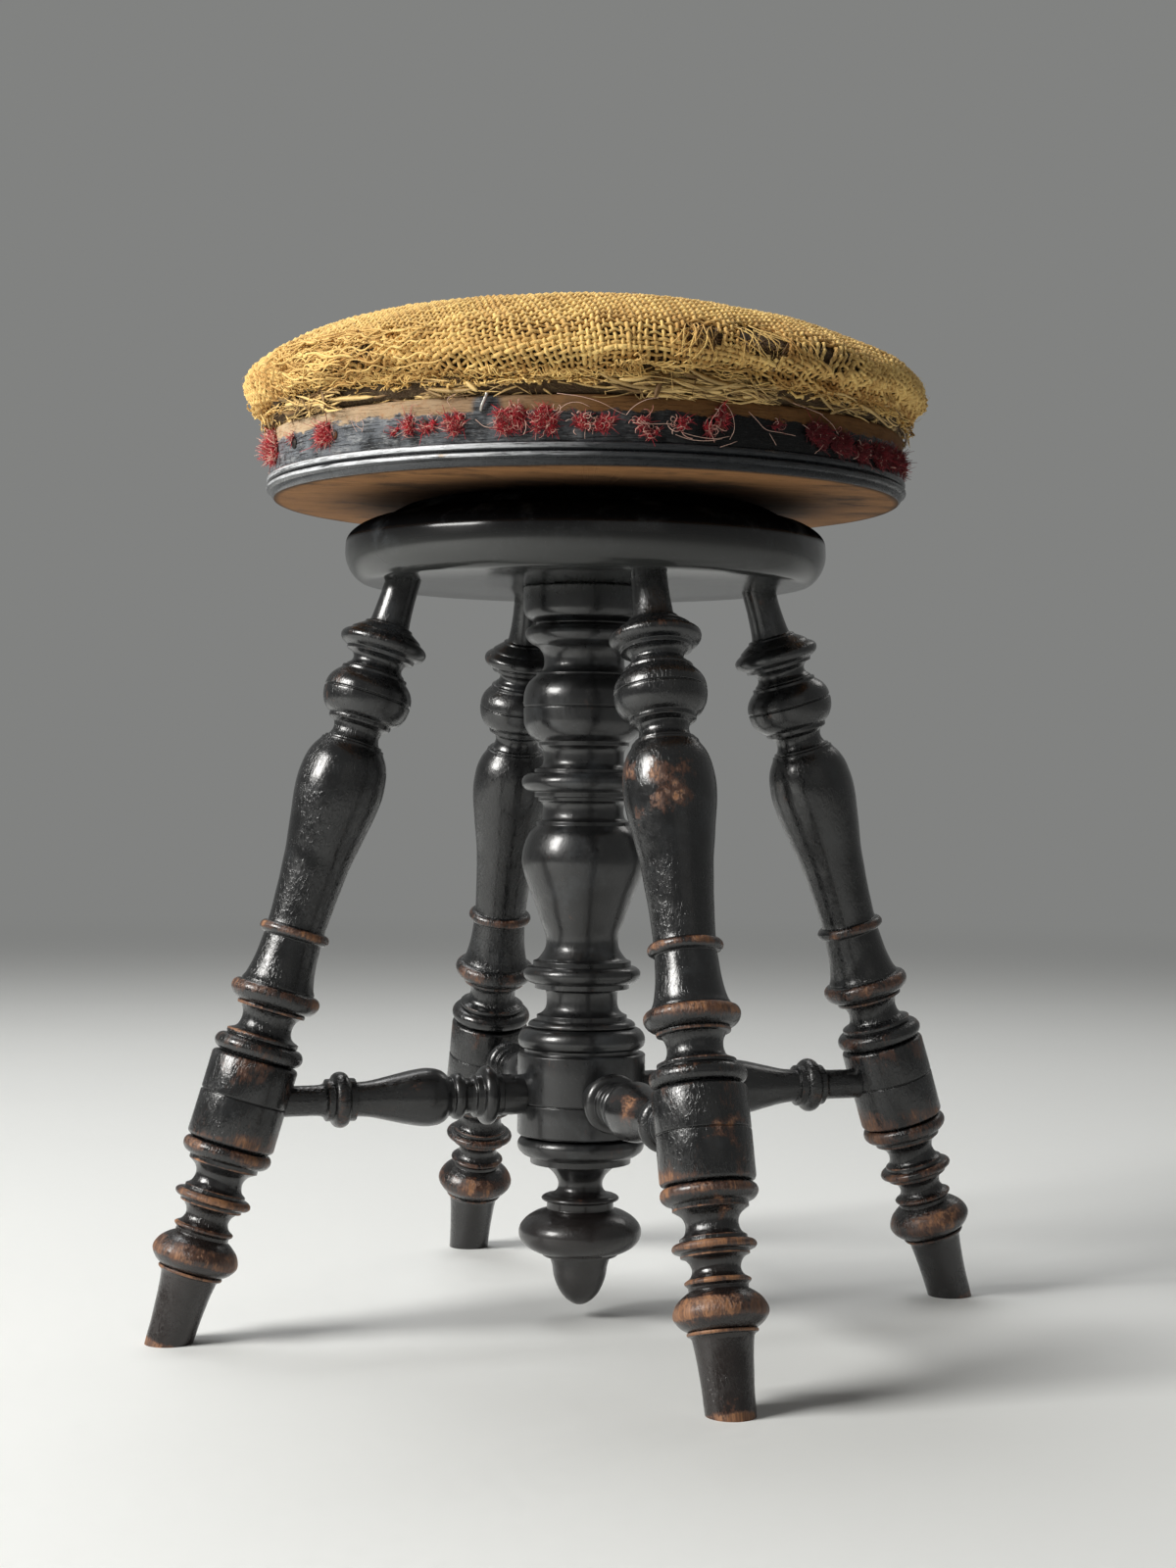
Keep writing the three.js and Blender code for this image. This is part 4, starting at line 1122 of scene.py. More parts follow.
class STOOL_OT_turn_stretchers(bpy.types.Operator):
    """Turns one stretcher and lays four of them from the column to the legs"""

    bl_idname = "stool.turn_stretchers"
    bl_label = "Turn the stretchers"

    def execute(self, context):
        blank = turned("stretcher_blank", STRETCHER_ROWS, sizes().leg_sides)
        for index, side in enumerate(LEG_NAMES):
            level = Matrix.Translation((0, 0, STRETCHER_HEIGHT * MM)) @ Matrix.Rotation(math.pi / 2, 4, "Y")
            piece = copied(blank, f"turned_stretcher_{side}", level, 3.7 + index * 0.57)
            put(piece, upright(index * FULL_TURN / 4))
            handled(piece, 0.02, 0.12 * MM, index + 8)
            shade(piece)
            finish_piece(piece, material(*EBONISED), "stand", "ebonised_wood", f"stretcher_{side}")
        bpy.data.objects.remove(blank)
        return {"FINISHED"}


class STOOL_OT_turn_centre(bpy.types.Operator):
    """Turns the centre column, the drop finial and the round platform"""

    bl_idname = "stool.turn_centre"
    bl_label = "Turn the column and platform"

    def execute(self, context):
        pieces = (
            ("turned_column", COLUMN_ROWS, sizes().column_sides, "column", (0, 0, 5.1), 0.035, EBONISED),
            ("turned_finial", FINIAL_ROWS, sizes().column_sides, "drop_finial", (0, 0, 6.3), 0.03, EBONISED),
            ("turned_platform", PLATFORM_ROWS, sizes().disc_sides, "platform", (0, 0, 7.9), 0.06,
             ("Ebonised platform", ebonised_top)),
        )
        for name, rows, sides, node_name, marks, size, finish in pieces:
            piece = turned(name, rows, sides, marks)
            handled(piece, size, 0.14 * MM, len(name))
            shade(piece)
            finish_piece(piece, material(*finish), "stand", "ebonised_wood", node_name)
        return {"FINISHED"}


def threaded(piece, root, crest, low, high):
    """Cuts a right-hand thread where the piece's wall lies near the screw's radius."""
    points = coordinates(piece) / MM
    radius = np.hypot(points[:, 0], points[:, 1])
    turn = np.arctan2(points[:, 1], points[:, 0]) / FULL_TURN
    phase = (points[:, 2] / THREAD_PITCH - turn) % 1
    tooth = np.clip(1.5 * (1 - np.abs(2 * phase - 1)) - 0.25, 0, 1)
    wall = (radius > root - 0.2) & (radius < crest + 0.6) & (points[:, 2] > low) & (points[:, 2] < high)
    ease = np.clip(np.minimum(points[:, 2] - low, high - points[:, 2]) / 2, 0, 1)
    wanted = root + (crest - root) * tooth * ease
    points[wall, :2] *= (wanted / np.maximum(radius, 1e-6))[wall, None]
    set_coordinates(piece, points * MM)


def wall_rows(radius, low, high, step):
    """Rows straight up or down a wall, close enough together to carry a thread."""
    count = max(2, round(abs(high - low) / step))
    return tuple((low + (high - low) * share / count, radius) for share in range(count + 1))


def wood_screw(name):
    """A slotted countersunk wood screw, head up at the origin."""
    rows = ((-20, 0), (-16, 2), (-3, 2.2), (-0.5, 4.3), (0, 4.6), (0, 0))
    piece = turned(name, rows, 20)
    deselect_all()
    bpy.ops.mesh.primitive_cube_add(size=1, location=(0, 0, 0), scale=(0.012, 0.0011, 0.0024))
    slot = bpy.context.object
    cut = piece.modifiers.new("Slot", "BOOLEAN")
    cut.object, cut.operation, cut.solver = slot, "DIFFERENCE", "EXACT"
    make_active(piece)
    bpy.ops.object.modifier_apply(modifier="Slot")
    bpy.data.objects.remove(slot)
    return piece


class STOOL_OT_fit_ironwork(bpy.types.Operator):
    """Makes the screw, its nut, the seat's flange and their wood screws"""

    bl_idname = "stool.fit_ironwork"
    bl_label = "Fit the ironwork"

    def execute(self, context):
        step = THREAD_PITCH / 12
        spindle_rows = (
            (SPINDLE_FOOT, 0), *wall_rows(SPINDLE_ROOT, SPINDLE_FOOT, BOARD_BASE, step),
            (SPINDLE_HEAD, SPINDLE_ROOT), (SPINDLE_HEAD, 0),
        )
        spindle = turned("iron_spindle", spindle_rows, 48)
        threaded(spindle, SPINDLE_ROOT, SPINDLE_CREST, SPINDLE_FOOT - 1, BOARD_BASE - 0.5)
        shade(spindle, 50)
        finish_piece(spindle, material(*STEEL), "seat", "bare_steel", "spindle")
        inner = wall_rows(11.5, 419.2, 365.2, step)
        nut = turned("iron_nut", (*NUT_ROWS, *inner), 48)
        threaded(nut, SPINDLE_ROOT + 0.6, SPINDLE_CREST + 0.6, 365.4, 418.8)
        shade(nut)
        finish_piece(nut, material(*IRON), "stand", "dark_iron", "screw_nut")
        flange = turned("iron_flange", FLANGE_ROWS, 64)
        shade(flange)
        finish_piece(flange, material(*IRON), "seat", "dark_iron", "seat_flange")
        blank = wood_screw("screw_blank")
        sets = (("nut_screw", 26.6, 419.2, "stand", 0), ("flange_screw", 33, BOARD_BASE, "seat", math.pi))
        for label, circle, height, body, flip in sets:
            for index in range(4):
                turn = (index + 0.5) * FULL_TURN / 4
                place = upright(turn) @ Matrix.Translation((circle * MM, 0, height * MM))
                place = place @ Matrix.Rotation(flip, 4, "X") @ upright(0.7 * index + circle)
                screw = copied(blank, f"iron_{label}_{index + 1}", place, index)
                shade(screw)
                finish_piece(screw, material(*STEEL), body, "bare_steel", f"{label}_{index + 1}")
        bpy.data.objects.remove(blank)
        for name, finish in (("stop_washer", IRON), ("stop_screw", STEEL), ("spindle_pin", STEEL)):
            hidden = frame["nodes"][name]
            hidden.data.materials.clear()
            hidden.data.materials.append(material(*finish))
        return {"FINISHED"}


class STOOL_OT_turn_board(bpy.types.Operator):
    """Turns the seat board with its two beads and its band"""

    bl_idname = "stool.turn_board"
    bl_label = "Turn the seat board"

    def execute(self, context):
        board = turned("turned_seat_board", BOARD_ROWS, sizes().disc_sides)
        handled(board, 0.05, 0.12 * MM, 21)
        shade(board)
        finish_piece(board, material("Seat board wood", seat_wood), "seat", "seat_wood", "seat_board")
        return {"FINISHED"}


def swollen(piece, reach):
    """Lets the stuffing swell under its own pressure, held where it stands on the board."""
    before = coordinates(piece)
    held = piece.vertex_groups.new(name="Held")
    floor = (BOARD_TOP + 6) * MM
    held.add([int(i) for i in np.nonzero(before[:, 2] < floor)[0]], 1.0, "REPLACE")
    cloth = piece.modifiers.new("Swell", "CLOTH")
    cloth.settings.use_pressure = True
    cloth.settings.uniform_pressure_force = 4
    cloth.settings.vertex_group_mass = "Held"
    cloth.settings.effector_weights.gravity = 0
    cloth.settings.tension_stiffness = 12
    cloth.settings.compression_stiffness = 8
    cloth.settings.bending_stiffness = 0.4
    cloth.collision_settings.use_collision = False
    cloth.point_cache.frame_end = 20
    scene = bpy.context.scene
    for step in range(1, 21):
        scene.frame_set(step)
    make_active(piece)
    bpy.ops.object.modifier_apply(modifier="Swell")
    moved = coordinates(piece) - before
    far = np.linalg.norm(moved, axis=1)
    share = np.minimum(1, reach / np.maximum(far, 1e-9))
    after = before + moved * share[:, None]
    after[:, 2] = np.maximum(after[:, 2], BOARD_TOP * MM + 0.3 * MM)
    set_coordinates(piece, after)
    scene.frame_set(1)


class STOOL_OT_stuff_seat(bpy.types.Operator):
    """Stuffs the seat: a crowned pad of hay that swells on the board"""

    bl_idname = "stool.stuff_seat"
    bl_label = "Stuff the seat"

    def execute(self, context):
        cover = through(COVER_LINE)
        depth = YARN_ROOM + sizes().swell / MM * np.interp(cover[:, :1], (110, 165), (1.15, -0.5))
        along = np.gradient(cover, axis=0)
        inward = np.stack([along[:, 1], -along[:, 0]], -1) / np.linalg.norm(along, axis=1)[:, None]
        inner = cover + inward * depth
        inner[:, 1] = np.maximum(inner[:, 1], BOARD_TOP + 0.4)
        crown = COVER_LINE[0][1] - depth[0, 0]
        rows = [(crown, 0), *((height, max(radius, 1)) for radius, height in inner[3::3])]
        pad = turned("hay_pad", [(BOARD_TOP + 0.4, 0), (BOARD_TOP + 0.4, 158), *reversed(rows)], 120)
        points = coordinates(pad) / MM
        turn = np.arctan2(points[:, 1], points[:, 0])
        radius = np.hypot(points[:, 0], points[:, 1])
        low = points[:, 2] < BOARD_TOP + 1
        new_radius, new_height = COVER.settled(radius, points[:, 2], turn)
        dents = wander(points * MM, 0.045, 5) * 1.2 + wander(points * MM, 0.018, 6) * 0.5
        upper = np.clip((points[:, 2] - 466) / 14, 0, 1)
        new_radius = np.where(low, radius, new_radius + dents * upper * radius / COVER_RADIUS)
        new_height = np.where(low, points[:, 2], new_height + dents * upper * (1 - radius / 190))
        points = round_axis(new_radius, turn, new_height)
        set_coordinates(pad, points * MM)
        make_active(pad)
        remesh = pad.modifiers.new("Even mesh", "REMESH")
        remesh.mode, remesh.voxel_size = "VOXEL", sizes().voxel
        bpy.ops.object.modifier_apply(modifier="Even mesh")
        swollen(pad, sizes().swell)
        finer = pad.modifiers.new("Finer", "SUBSURF")
        finer.levels = finer.render_levels = 1
        make_active(pad)
        bpy.ops.object.modifier_apply(modifier="Finer")
        points = coordinates(pad)
        tufted = np.abs(wander(points * np.array((1, 1, 2.2)), 0.007, 9)) * 0.9 * MM
        flat = points[:, 2] > (BOARD_TOP + 1) * MM
        set_coordinates(pad, points - normals_of(pad) * (tufted * flat)[:, None])
        bpy.ops.object.shade_smooth()
        finish_piece(pad, material("Matted hay", stuffing), "seat", "hay", "hay_stuffing")
        return {"FINISHED"}


class STOOL_OT_lay_hay(bpy.types.Operator):
    """Lays loose straws round the seat's edge and in the holes of the hessian"""

    bl_idname = "stool.lay_hay"
    bl_label = "Lay the loose hay"

    def execute(self, context):
        chance = random.Random(17)
        straws = Strands(4)
        for _ in range(sizes().straws):
            turn = chance.uniform(-math.pi, math.pi)
            hidden = float(cloth_edge(np.array(turn))) > LIP + 5 and chance.random() < 0.93
            height = chance.uniform(HAY_LOW, HAY_HIGH)
            hollow = 0.5 + noise.noise(Vector((math.cos(turn) * 5, math.sin(turn) * 5, height * 0.09)))
            bulge = 5.5 * math.sin(math.pi * (height - 452) / 15)
            radius = HAY_RADIUS + bulge + chance.random() * 3.2 - 5 * hidden
            radius -= 9 * max(hollow - 0.45, 0)
            along = math.degrees(turn)
            level = chance.random() < (0.86 if -95 < along < -20 else 0.5)
            length = chance.triangular(6, 46, 16) if level else chance.triangular(5, 24, 11)
            steep = chance.gauss(-0.06, 0.16) if level else chance.gauss(0, 0.9)
            bend = chance.uniform(-0.014, 0.014)
            lift = chance.uniform(-0.04, 0.13)
            wide = chance.choice((0.18, 0.25, 0.33, 0.42, 0.55, 0.8, 1.3))
            tint = chance.uniform(-0.1, 1.25)
            self.straw(straws, turn, radius, height, length, steep, bend, lift, wide, tint)
        for turn, distance, across, along in HOLES:
            for _ in range(HOLE_STRAWS):
                spin = chance.uniform(0, FULL_TURN)
                share = math.sqrt(chance.random())
                place = distance + along * share * math.sin(spin)
                away = math.radians(turn) + across * share * math.cos(spin) / SHOULDER_RADIUS
                point, up = COVER.spot(place, away)
                swing = chance.uniform(0, math.pi)
                side = np.array((-math.sin(away), math.cos(away), 0))
                way = side * math.cos(swing) + np.cross(up, side) * math.sin(swing)
                shares = np.linspace(-0.5, 0.5, 6)[:, None]
                length = chance.uniform(6, 20)
                depth = chance.uniform(2.2, 3.6)
                line = point - up * depth + way * shares * length - up * (shares**2) * length * 0.1
                # The straws in the holes take darker tints than those round the edge: painted shade in the
                # holes' hollows.
                straws.add(line, chance.choice((0.2, 0.3, 0.6)), 0.16, up, chance.uniform(-0.8, 0.35))
        piece = straws.piece("loose_hay")
        finish_piece(piece, material("Straw", straw), "seat", "hay")
        return {"FINISHED"}

    @staticmethod
    def straw(straws, turn, radius, height, length, steep, bend, lift, wide, tint):
        """One straw that follows the edge, steep or level, with its ends a little proud."""
        shares = np.linspace(-0.5, 0.5, 7)
        around = turn + shares * length * math.cos(steep) / radius
        rise = height + shares * length * math.sin(steep) + bend * (shares * length) ** 2
        rise = np.clip(rise, 452.2, 468)
        out = radius + np.abs(shares) ** 2 * length * lift * 2
        line = round_axis(out, around, rise)
        up = round_axis(1, around, 0.15)
        taper = 1 - 0.75 * np.abs(shares * 2) ** 3
        straws.add(line, wide * taper, min(wide, 0.36) * taper, up, tint)


# Holes worn in the hessian: turn in degrees, distance from the crown, half its width and half its height
HOLES = ((-90.4, 179.5, 9.5, 11), (-79.6, 176, 14, 14.5))
# Places where some yarns have broken away: the same measures, with the share of the yarns that are gone
THIN_PLACES = ((-152, 188, 38, 12, 0.5, 0.8), (-66, 180, 32, 14, 0.45, 0.3))
# How far from the crown the hessian reaches, by turn in degrees: it is tucked under, or torn off at the lip
LIP, SKIRT = 200, 213
CLOTH_EDGE = (
    (-180, SKIRT), (-173, SKIRT), (-168, LIP), (-156, LIP), (-151, 209), (-140, SKIRT), (-106, SKIRT),
    (-101, 202), (-82, LIP), (-77, 209), (-66, SKIRT), (-30, SKIRT), (8, SKIRT), (16, LIP), (36, LIP),
    (44, SKIRT), (70, 209), (76, LIP), (104, LIP), (112, SKIRT), (138, SKIRT), (146, LIP), (160, LIP),
    (167, SKIRT), (180, SKIRT),
)


def cloth_edge(turn):
    rows = np.array(CLOTH_EDGE)
    degrees = np.degrees(turn)
    ragged = 2.2 * np.sin(degrees * 0.37) * np.sin(degrees * 0.91 + 1) + 1.4 * np.sin(degrees * 2.3)
    return np.interp(degrees, rows[:, 0], rows[:, 1]) + ragged


# Rolls and creases of the sagging hem: distance from the crown, reach, lift off the seat and shift outward
HEM_FOLDS = ((191.5, 4, 1.8, 0.6), (199, 2.1, -2.6, -1.9), (204.8, 3, 1.2, 3.2))


def folded(points, ups, turn, distance):
    """Moves the points of the cloth's edge into the rolls and creases of its hem."""
    degrees = np.degrees(turn)
    turns = (-168, -156, -140, -96, -84, -20, 4, 12)
    share = np.interp(degrees, turns, (0, 0.3, 0.7, 0.75, 1.1, 1.1, 0.3, 0))
    outward = round_axis(1, turn, 0)
    rumple = wander(outward, 0.09, 61) + 0.6 * wander(outward, 0.035, 63)
    share = share * np.clip(0.62 + 0.75 * rumple, 0.05, 1.1)
    distance = distance + 2.2 * wander(outward, 0.13, 67)
    moved = points.copy()
    for middle, reach, lift, out in HEM_FOLDS:
        size = share * bell(distance, middle, reach)
        moved += ups * (size * lift)[:, None] + outward * (size * out)[:, None]
    swell = 2.2 * bell(apart(degrees, 165), 0, 26) * bell(distance, 190, 12)
    return moved + outward * swell[:, None]


def midway(rows):
    """The rows with a mean row between each two."""
    filled = np.empty((2 * len(rows) - 1, *rows.shape[1:]))
    filled[::2] = rows
    filled[1::2] = (rows[:-1] + rows[1:]) / 2
    return filled


def in_hole(turn, distance, holes=HOLES):
    """How deep a place lies in a hole: 1 at its middle, 0 at its edge or outside."""
    depth = np.zeros(np.broadcast(turn, distance).shape)
    for at, far, across, along in holes:
        aside = np.radians(apart(np.degrees(turn), at)) * SHOULDER_RADIUS
        gap = np.hypot(aside / across, (distance - far) / along)
        depth = np.maximum(depth, np.clip(1 - gap, 0, 1))
    return depth


class STOOL_OT_weave_cover(bpy.types.Operator):
    """Weaves the hessian, yarn over yarn, over the stuffed seat"""

    bl_idname = "stool.weave_cover"
    bl_label = "Weave the hessian"

    def execute(self, context):
        pitch = sizes().weave_pitch / MM
        reach = math.ceil((CLOTH_REACH + 1) / pitch)
        span = np.arange(-reach, reach + 1) * pitch
        flat_x, flat_y = np.meshgrid(span, span, indexing="ij")
        flat = np.stack([flat_x.ravel(), flat_y.ravel(), np.zeros(flat_x.size)], -1)
        drift_x = wander(flat, 42, 31) * 3.0 + wander(flat, 11, 33) * 0.95
        drift_y = wander(flat, 42, 35) * 3.0 + wander(flat, 11, 37) * 0.95
        bunched = np.clip((np.hypot(flat[:, 0], flat[:, 1]) - 145) / 35, 0, 1)
        drift_x += wander(flat, 17, 43) * 2.4 * bunched
        drift_y += wander(flat, 17, 47) * 2.4 * bunched
        away = np.arctan2(flat[:, 1] + drift_y, flat[:, 0] + drift_x) + CLOTH_TURN
        away = (away + math.pi) % FULL_TURN - math.pi
        far = np.hypot(flat[:, 0] + drift_x, flat[:, 1] + drift_y)
        inside = far < CLOTH_REACH
        surface = BVHTree.FromObject(bpy.data.objects["hay_pad"], bpy.context.evaluated_depsgraph_get())
        points, ups = COVER.spot(far, away)
        for index in np.nonzero(inside)[0]:
            hit = surface.find_nearest(Vector(points[index] * MM))[0]
            gap = (points[index] - np.array(hit) / MM) @ ups[index]
            if abs(gap) < 12 and far[index] < LIP - 2:
                points[index] += ups[index] * (1.7 - gap)
        points = folded(points, ups, away, far)
        shape = flat_x.shape
        grid = {
            "points": points.reshape(*shape, 3), "ups": ups.reshape(*shape, 3),
            "away": away.reshape(shape), "far": far.reshape(shape),
        }
        for name, turned_over in (("hessian_warp", False), ("hessian_weft", True)):
            yarns = self.yarns(grid, turned_over)
            piece = yarns.piece(name)
            finish_piece(piece, material("Hessian", hessian), "seat", "hessian", "hessian_cover")
        return {"FINISHED"}

    def yarns(self, grid, turned_over):
        """All yarns of one direction; the other direction passes over where these pass under."""
        chance = random.Random(41 + turned_over)
        radius = sizes().yarn_radius / MM
        made = Strands(4)
        rows = grid["far"].shape[0]
        for row in range(rows):
            pick = (slice(None), row) if turned_over else (row, slice(None))
            points, ups = grid["points"][pick], grid["ups"][pick]
            away, far = grid["away"][pick], grid["far"][pick]
            count = len(far)
            over = np.where((np.arange(count) + row + turned_over) % 2 == 0, 1.0, -1.0)
            line = midway(points)
            line[::2] += ups * (over * 0.78)[:, None]
            ups = midway(ups)
            spare = chance.uniform(-1.2, 2.4)
            torn = chance.random() < 0.96
            keep = far < cloth_edge(away) + spare
            keep &= ~((in_hole(away, far) > chance.uniform(0.0, 0.2)) & torn)
            for *place, weft_gone, warp_gone in THIN_PLACES:
                if chance.random() < (weft_gone if turned_over else warp_gone):
                    keep &= in_hole(away, far, (place,)) < chance.uniform(0.05, 0.6)
            count = 2 * count - 1
            keep = midway(keep.astype(float)) == 1
            tint = chance.uniform(0.3, 0.95)
            slub = 1 + 0.2 * np.sin(np.arange(count) * chance.uniform(0.03, 0.2) + chance.uniform(0, 6))
            slub = radius * slub * chance.uniform(0.86, 1.1) * (1 + 0.24 * bell(midway(far), 187, 13))
            # Painted shade: yarns darker along the crease of the hem.
            tint = tint - 0.5 * bell(midway(far), 205, 4.5)
            start = 0
            while start < count:
                if not keep[start]:
                    start += 1
                    continue
                end = start
                while end < count and keep[end]:
                    end += 1
                if end - start > 4:
                    run = slice(start, end)
                    made.add(line[run], slub[run], slub[run] * 0.86, ups[run], tint[run])
                start = end
        return made


class STOOL_OT_fray_cover(bpy.types.Operator):
    """Adds the loose threads, frayed ends and fuzz of the old hessian"""

    bl_idname = "stool.fray_cover"
    bl_label = "Fray the hessian"

    def execute(self, context):
        chance = random.Random(59)
        threads, fuzz = Strands(4), Strands(3)
        for _ in range(EDGE_THREADS):
            self.edge_thread(threads, chance, chance.uniform(-math.pi, math.pi), 1)
        for _ in range(CURLED_THREADS):
            self.edge_thread(threads, chance, math.radians(chance.uniform(-146, -100)), 2.4)
        for _ in range(LEVEL_THREADS):
            self.level_thread(threads, chance)
        for turn, distance, across, along in HOLES:
            for _ in range(HOLE_THREADS):
                self.hole_thread(threads, chance, math.radians(turn), distance, across, along)
        for _ in range(sizes().fuzz):
            self.fibre(fuzz, chance)
        for name, strands in (("hessian_threads", threads), ("hessian_fuzz", fuzz)):
            piece = strands.piece(name)
            finish_piece(piece, material("Hessian", hessian), "seat", "hessian")
        return {"FINISHED"}

    @staticmethod
    def edge_thread(threads, chance, turn, curl):
        """A thread that has worked loose at the torn edge and curls along it."""
        edge = float(cloth_edge(np.array(turn)))
        length = chance.triangular(6, 34, 12) / curl
        shares = np.linspace(0, 1, 9)
        level = chance.random() < 0.6
        along = length * (1 if level else 0.25) * chance.choice((-1, 1))
        drop = chance.uniform(-3, 4) if level else chance.uniform(2, 9)
        wave = curl * chance.uniform(0.3, 1.3) * np.sin(shares * chance.uniform(4, 12) + chance.uniform(0, 6))
        distance = np.clip(edge - chance.uniform(0, 5 + 2 * curl) + shares * drop + wave, 184, 216)
        away = turn + shares * along / EDGE_RADIUS
        point, up = COVER.spot(distance, away)
        proud = 1.0 + chance.uniform(0.2, 2.2) * np.sin(shares * math.pi * chance.uniform(0.6, 1.5)) ** 2
        point = folded(point, up, away, distance)
        threads.add(point + up * proud[:, None], chance.uniform(0.22, 0.5), 0.3, up, chance.uniform(0.2, 1))

    @staticmethod
    def level_thread(threads, chance):
        """A wavy yarn that runs level over the left shoulder, where the yarns across it have broken away."""
        turn, distance = math.radians(chance.triangular(-174, -132, -155)), chance.uniform(172, 203)
        shares = np.linspace(-0.5, 0.5, 15)
        length = chance.triangular(9, 42, 20)
        wave = chance.uniform(0.4, 1.7) * np.sin(shares * chance.uniform(5, 17) + chance.uniform(0, 6))
        far = distance + wave + shares * chance.gauss(0, 4)
        away = turn + shares * length / EDGE_RADIUS
        point, up = COVER.spot(far, away)
        point = folded(point, up, away, far)
        proud = chance.uniform(0.3, 2.4) + chance.uniform(0, 1.5) * shares**2
        wide = chance.choice((0.35, 0.5, 0.65))
        threads.add(point + up * proud[:, None], wide, wide * 0.8, up, chance.uniform(0.1, 1))

    @staticmethod
    def hole_thread(threads, chance, turn, distance, across, along):
        """A thread or broken yarn that curls across a hole."""
        shares = np.linspace(-1, 1, 11)
        aside = chance.uniform(-1.1, 1.1) * across
        swing, bow = chance.gauss(0, 0.6), chance.uniform(-0.5, 0.5)
        reach = along * chance.uniform(0.5, 1.15)
        far = distance + shares * reach + chance.uniform(-4, 4)
        away = turn + (aside + (swing * shares + bow * (1 - shares**2)) * reach) / SHOULDER_RADIUS
        away = away + 0.6 * np.sin(shares * chance.uniform(2, 7)) / SHOULDER_RADIUS
        point, up = COVER.spot(far, away)
        proud = chance.uniform(-0.8, 1.4) + chance.uniform(0, 1.6) * (1 - shares**2)
        wide = chance.choice((0.12, 0.16, 0.2, 0.3, 0.5))
        threads.add(point + up * proud[:, None], wide, min(wide, 0.3), up, chance.uniform(0.1, 1))

    @staticmethod
    def fibre(fuzz, chance):
        """One hair of jute that stands off the cloth."""
        turn = chance.uniform(-math.pi, math.pi)
        far = (CLOTH_REACH - 3) * math.sqrt(chance.uniform(0.0, 1.0))
        point, up = COVER.spot(far, turn)
        way = np.array([chance.gauss(0, 1) for _ in range(3)])
        way -= up * (way @ up)
        way /= max(np.linalg.norm(way), 1e-6)
        length = chance.triangular(1.5, 9, 3)
        shares = np.linspace(0, 1, 4)[:, None]
        rise = chance.uniform(0.2, 0.8)
        line = point - up * 0.7 + way * shares * length + up * shares * length * rise * (1.4 - shares)
        thin = chance.uniform(0.05, 0.09)
        fuzz.add(line, thin, thin, np.cross(way, up), chance.uniform(0.5, 1))


# Tufts of torn plush on the band: turn in degrees, height, width along the band, height of the tuft
TUFTS = (
    (178, 444, 19, 17), (-169.3, 444.6, 5, 8), (-157.4, 443, 15, 11), (-141.2, 439.7, 4.4, 4),
    (-137.6, 443, 8, 10), (-134.4, 442, 7.5, 10), (-129.9, 442, 11.5, 9), (-120.3, 442.6, 13, 13),
    (-115.3, 441.6, 13, 12), (-109, 440.6, 8, 9.5), (-105.6, 440.6, 10, 9), (-99.6, 441, 7.5, 7.5),
    (-97.6, 437.2, 5, 7), (-93.3, 441, 10, 6), (-88, 439.6, 7, 7), (-86.2, 447, 5.5, 15),
    (-75.8, 444, 5, 5), (-66.4, 441.4, 15, 11), (-60.4, 439.8, 15, 11), (-54, 438.6, 13, 11),
    (-47.4, 438, 15, 12), (-41, 438, 15, 13), (-35, 439, 12, 11), (-18, 441, 10, 8), (2, 440, 13, 9),
    (12, 442, 7, 6), (34, 441, 16, 10), (52, 440, 6, 6), (73, 442, 14, 9), (98, 440, 9, 8),
    (118, 441, 15, 11), (137, 441, 8, 7), (153, 442, 12, 10),
)
PILE_PIECES = 3  # the pile is parted over this many pieces, which keeps each one light
# The bent pin: turn in degrees, height and how far it stands off the band
PIN_RUN = (
    (-124.2, 455.2, 2.6), (-124.6, 452.4, 2.2), (-125.1, 449.6, 1.8), (-125.4, 447.6, 1.3),
    (-125.5, 447, 0.2), (-125.5, 446.9, -1.5),
)
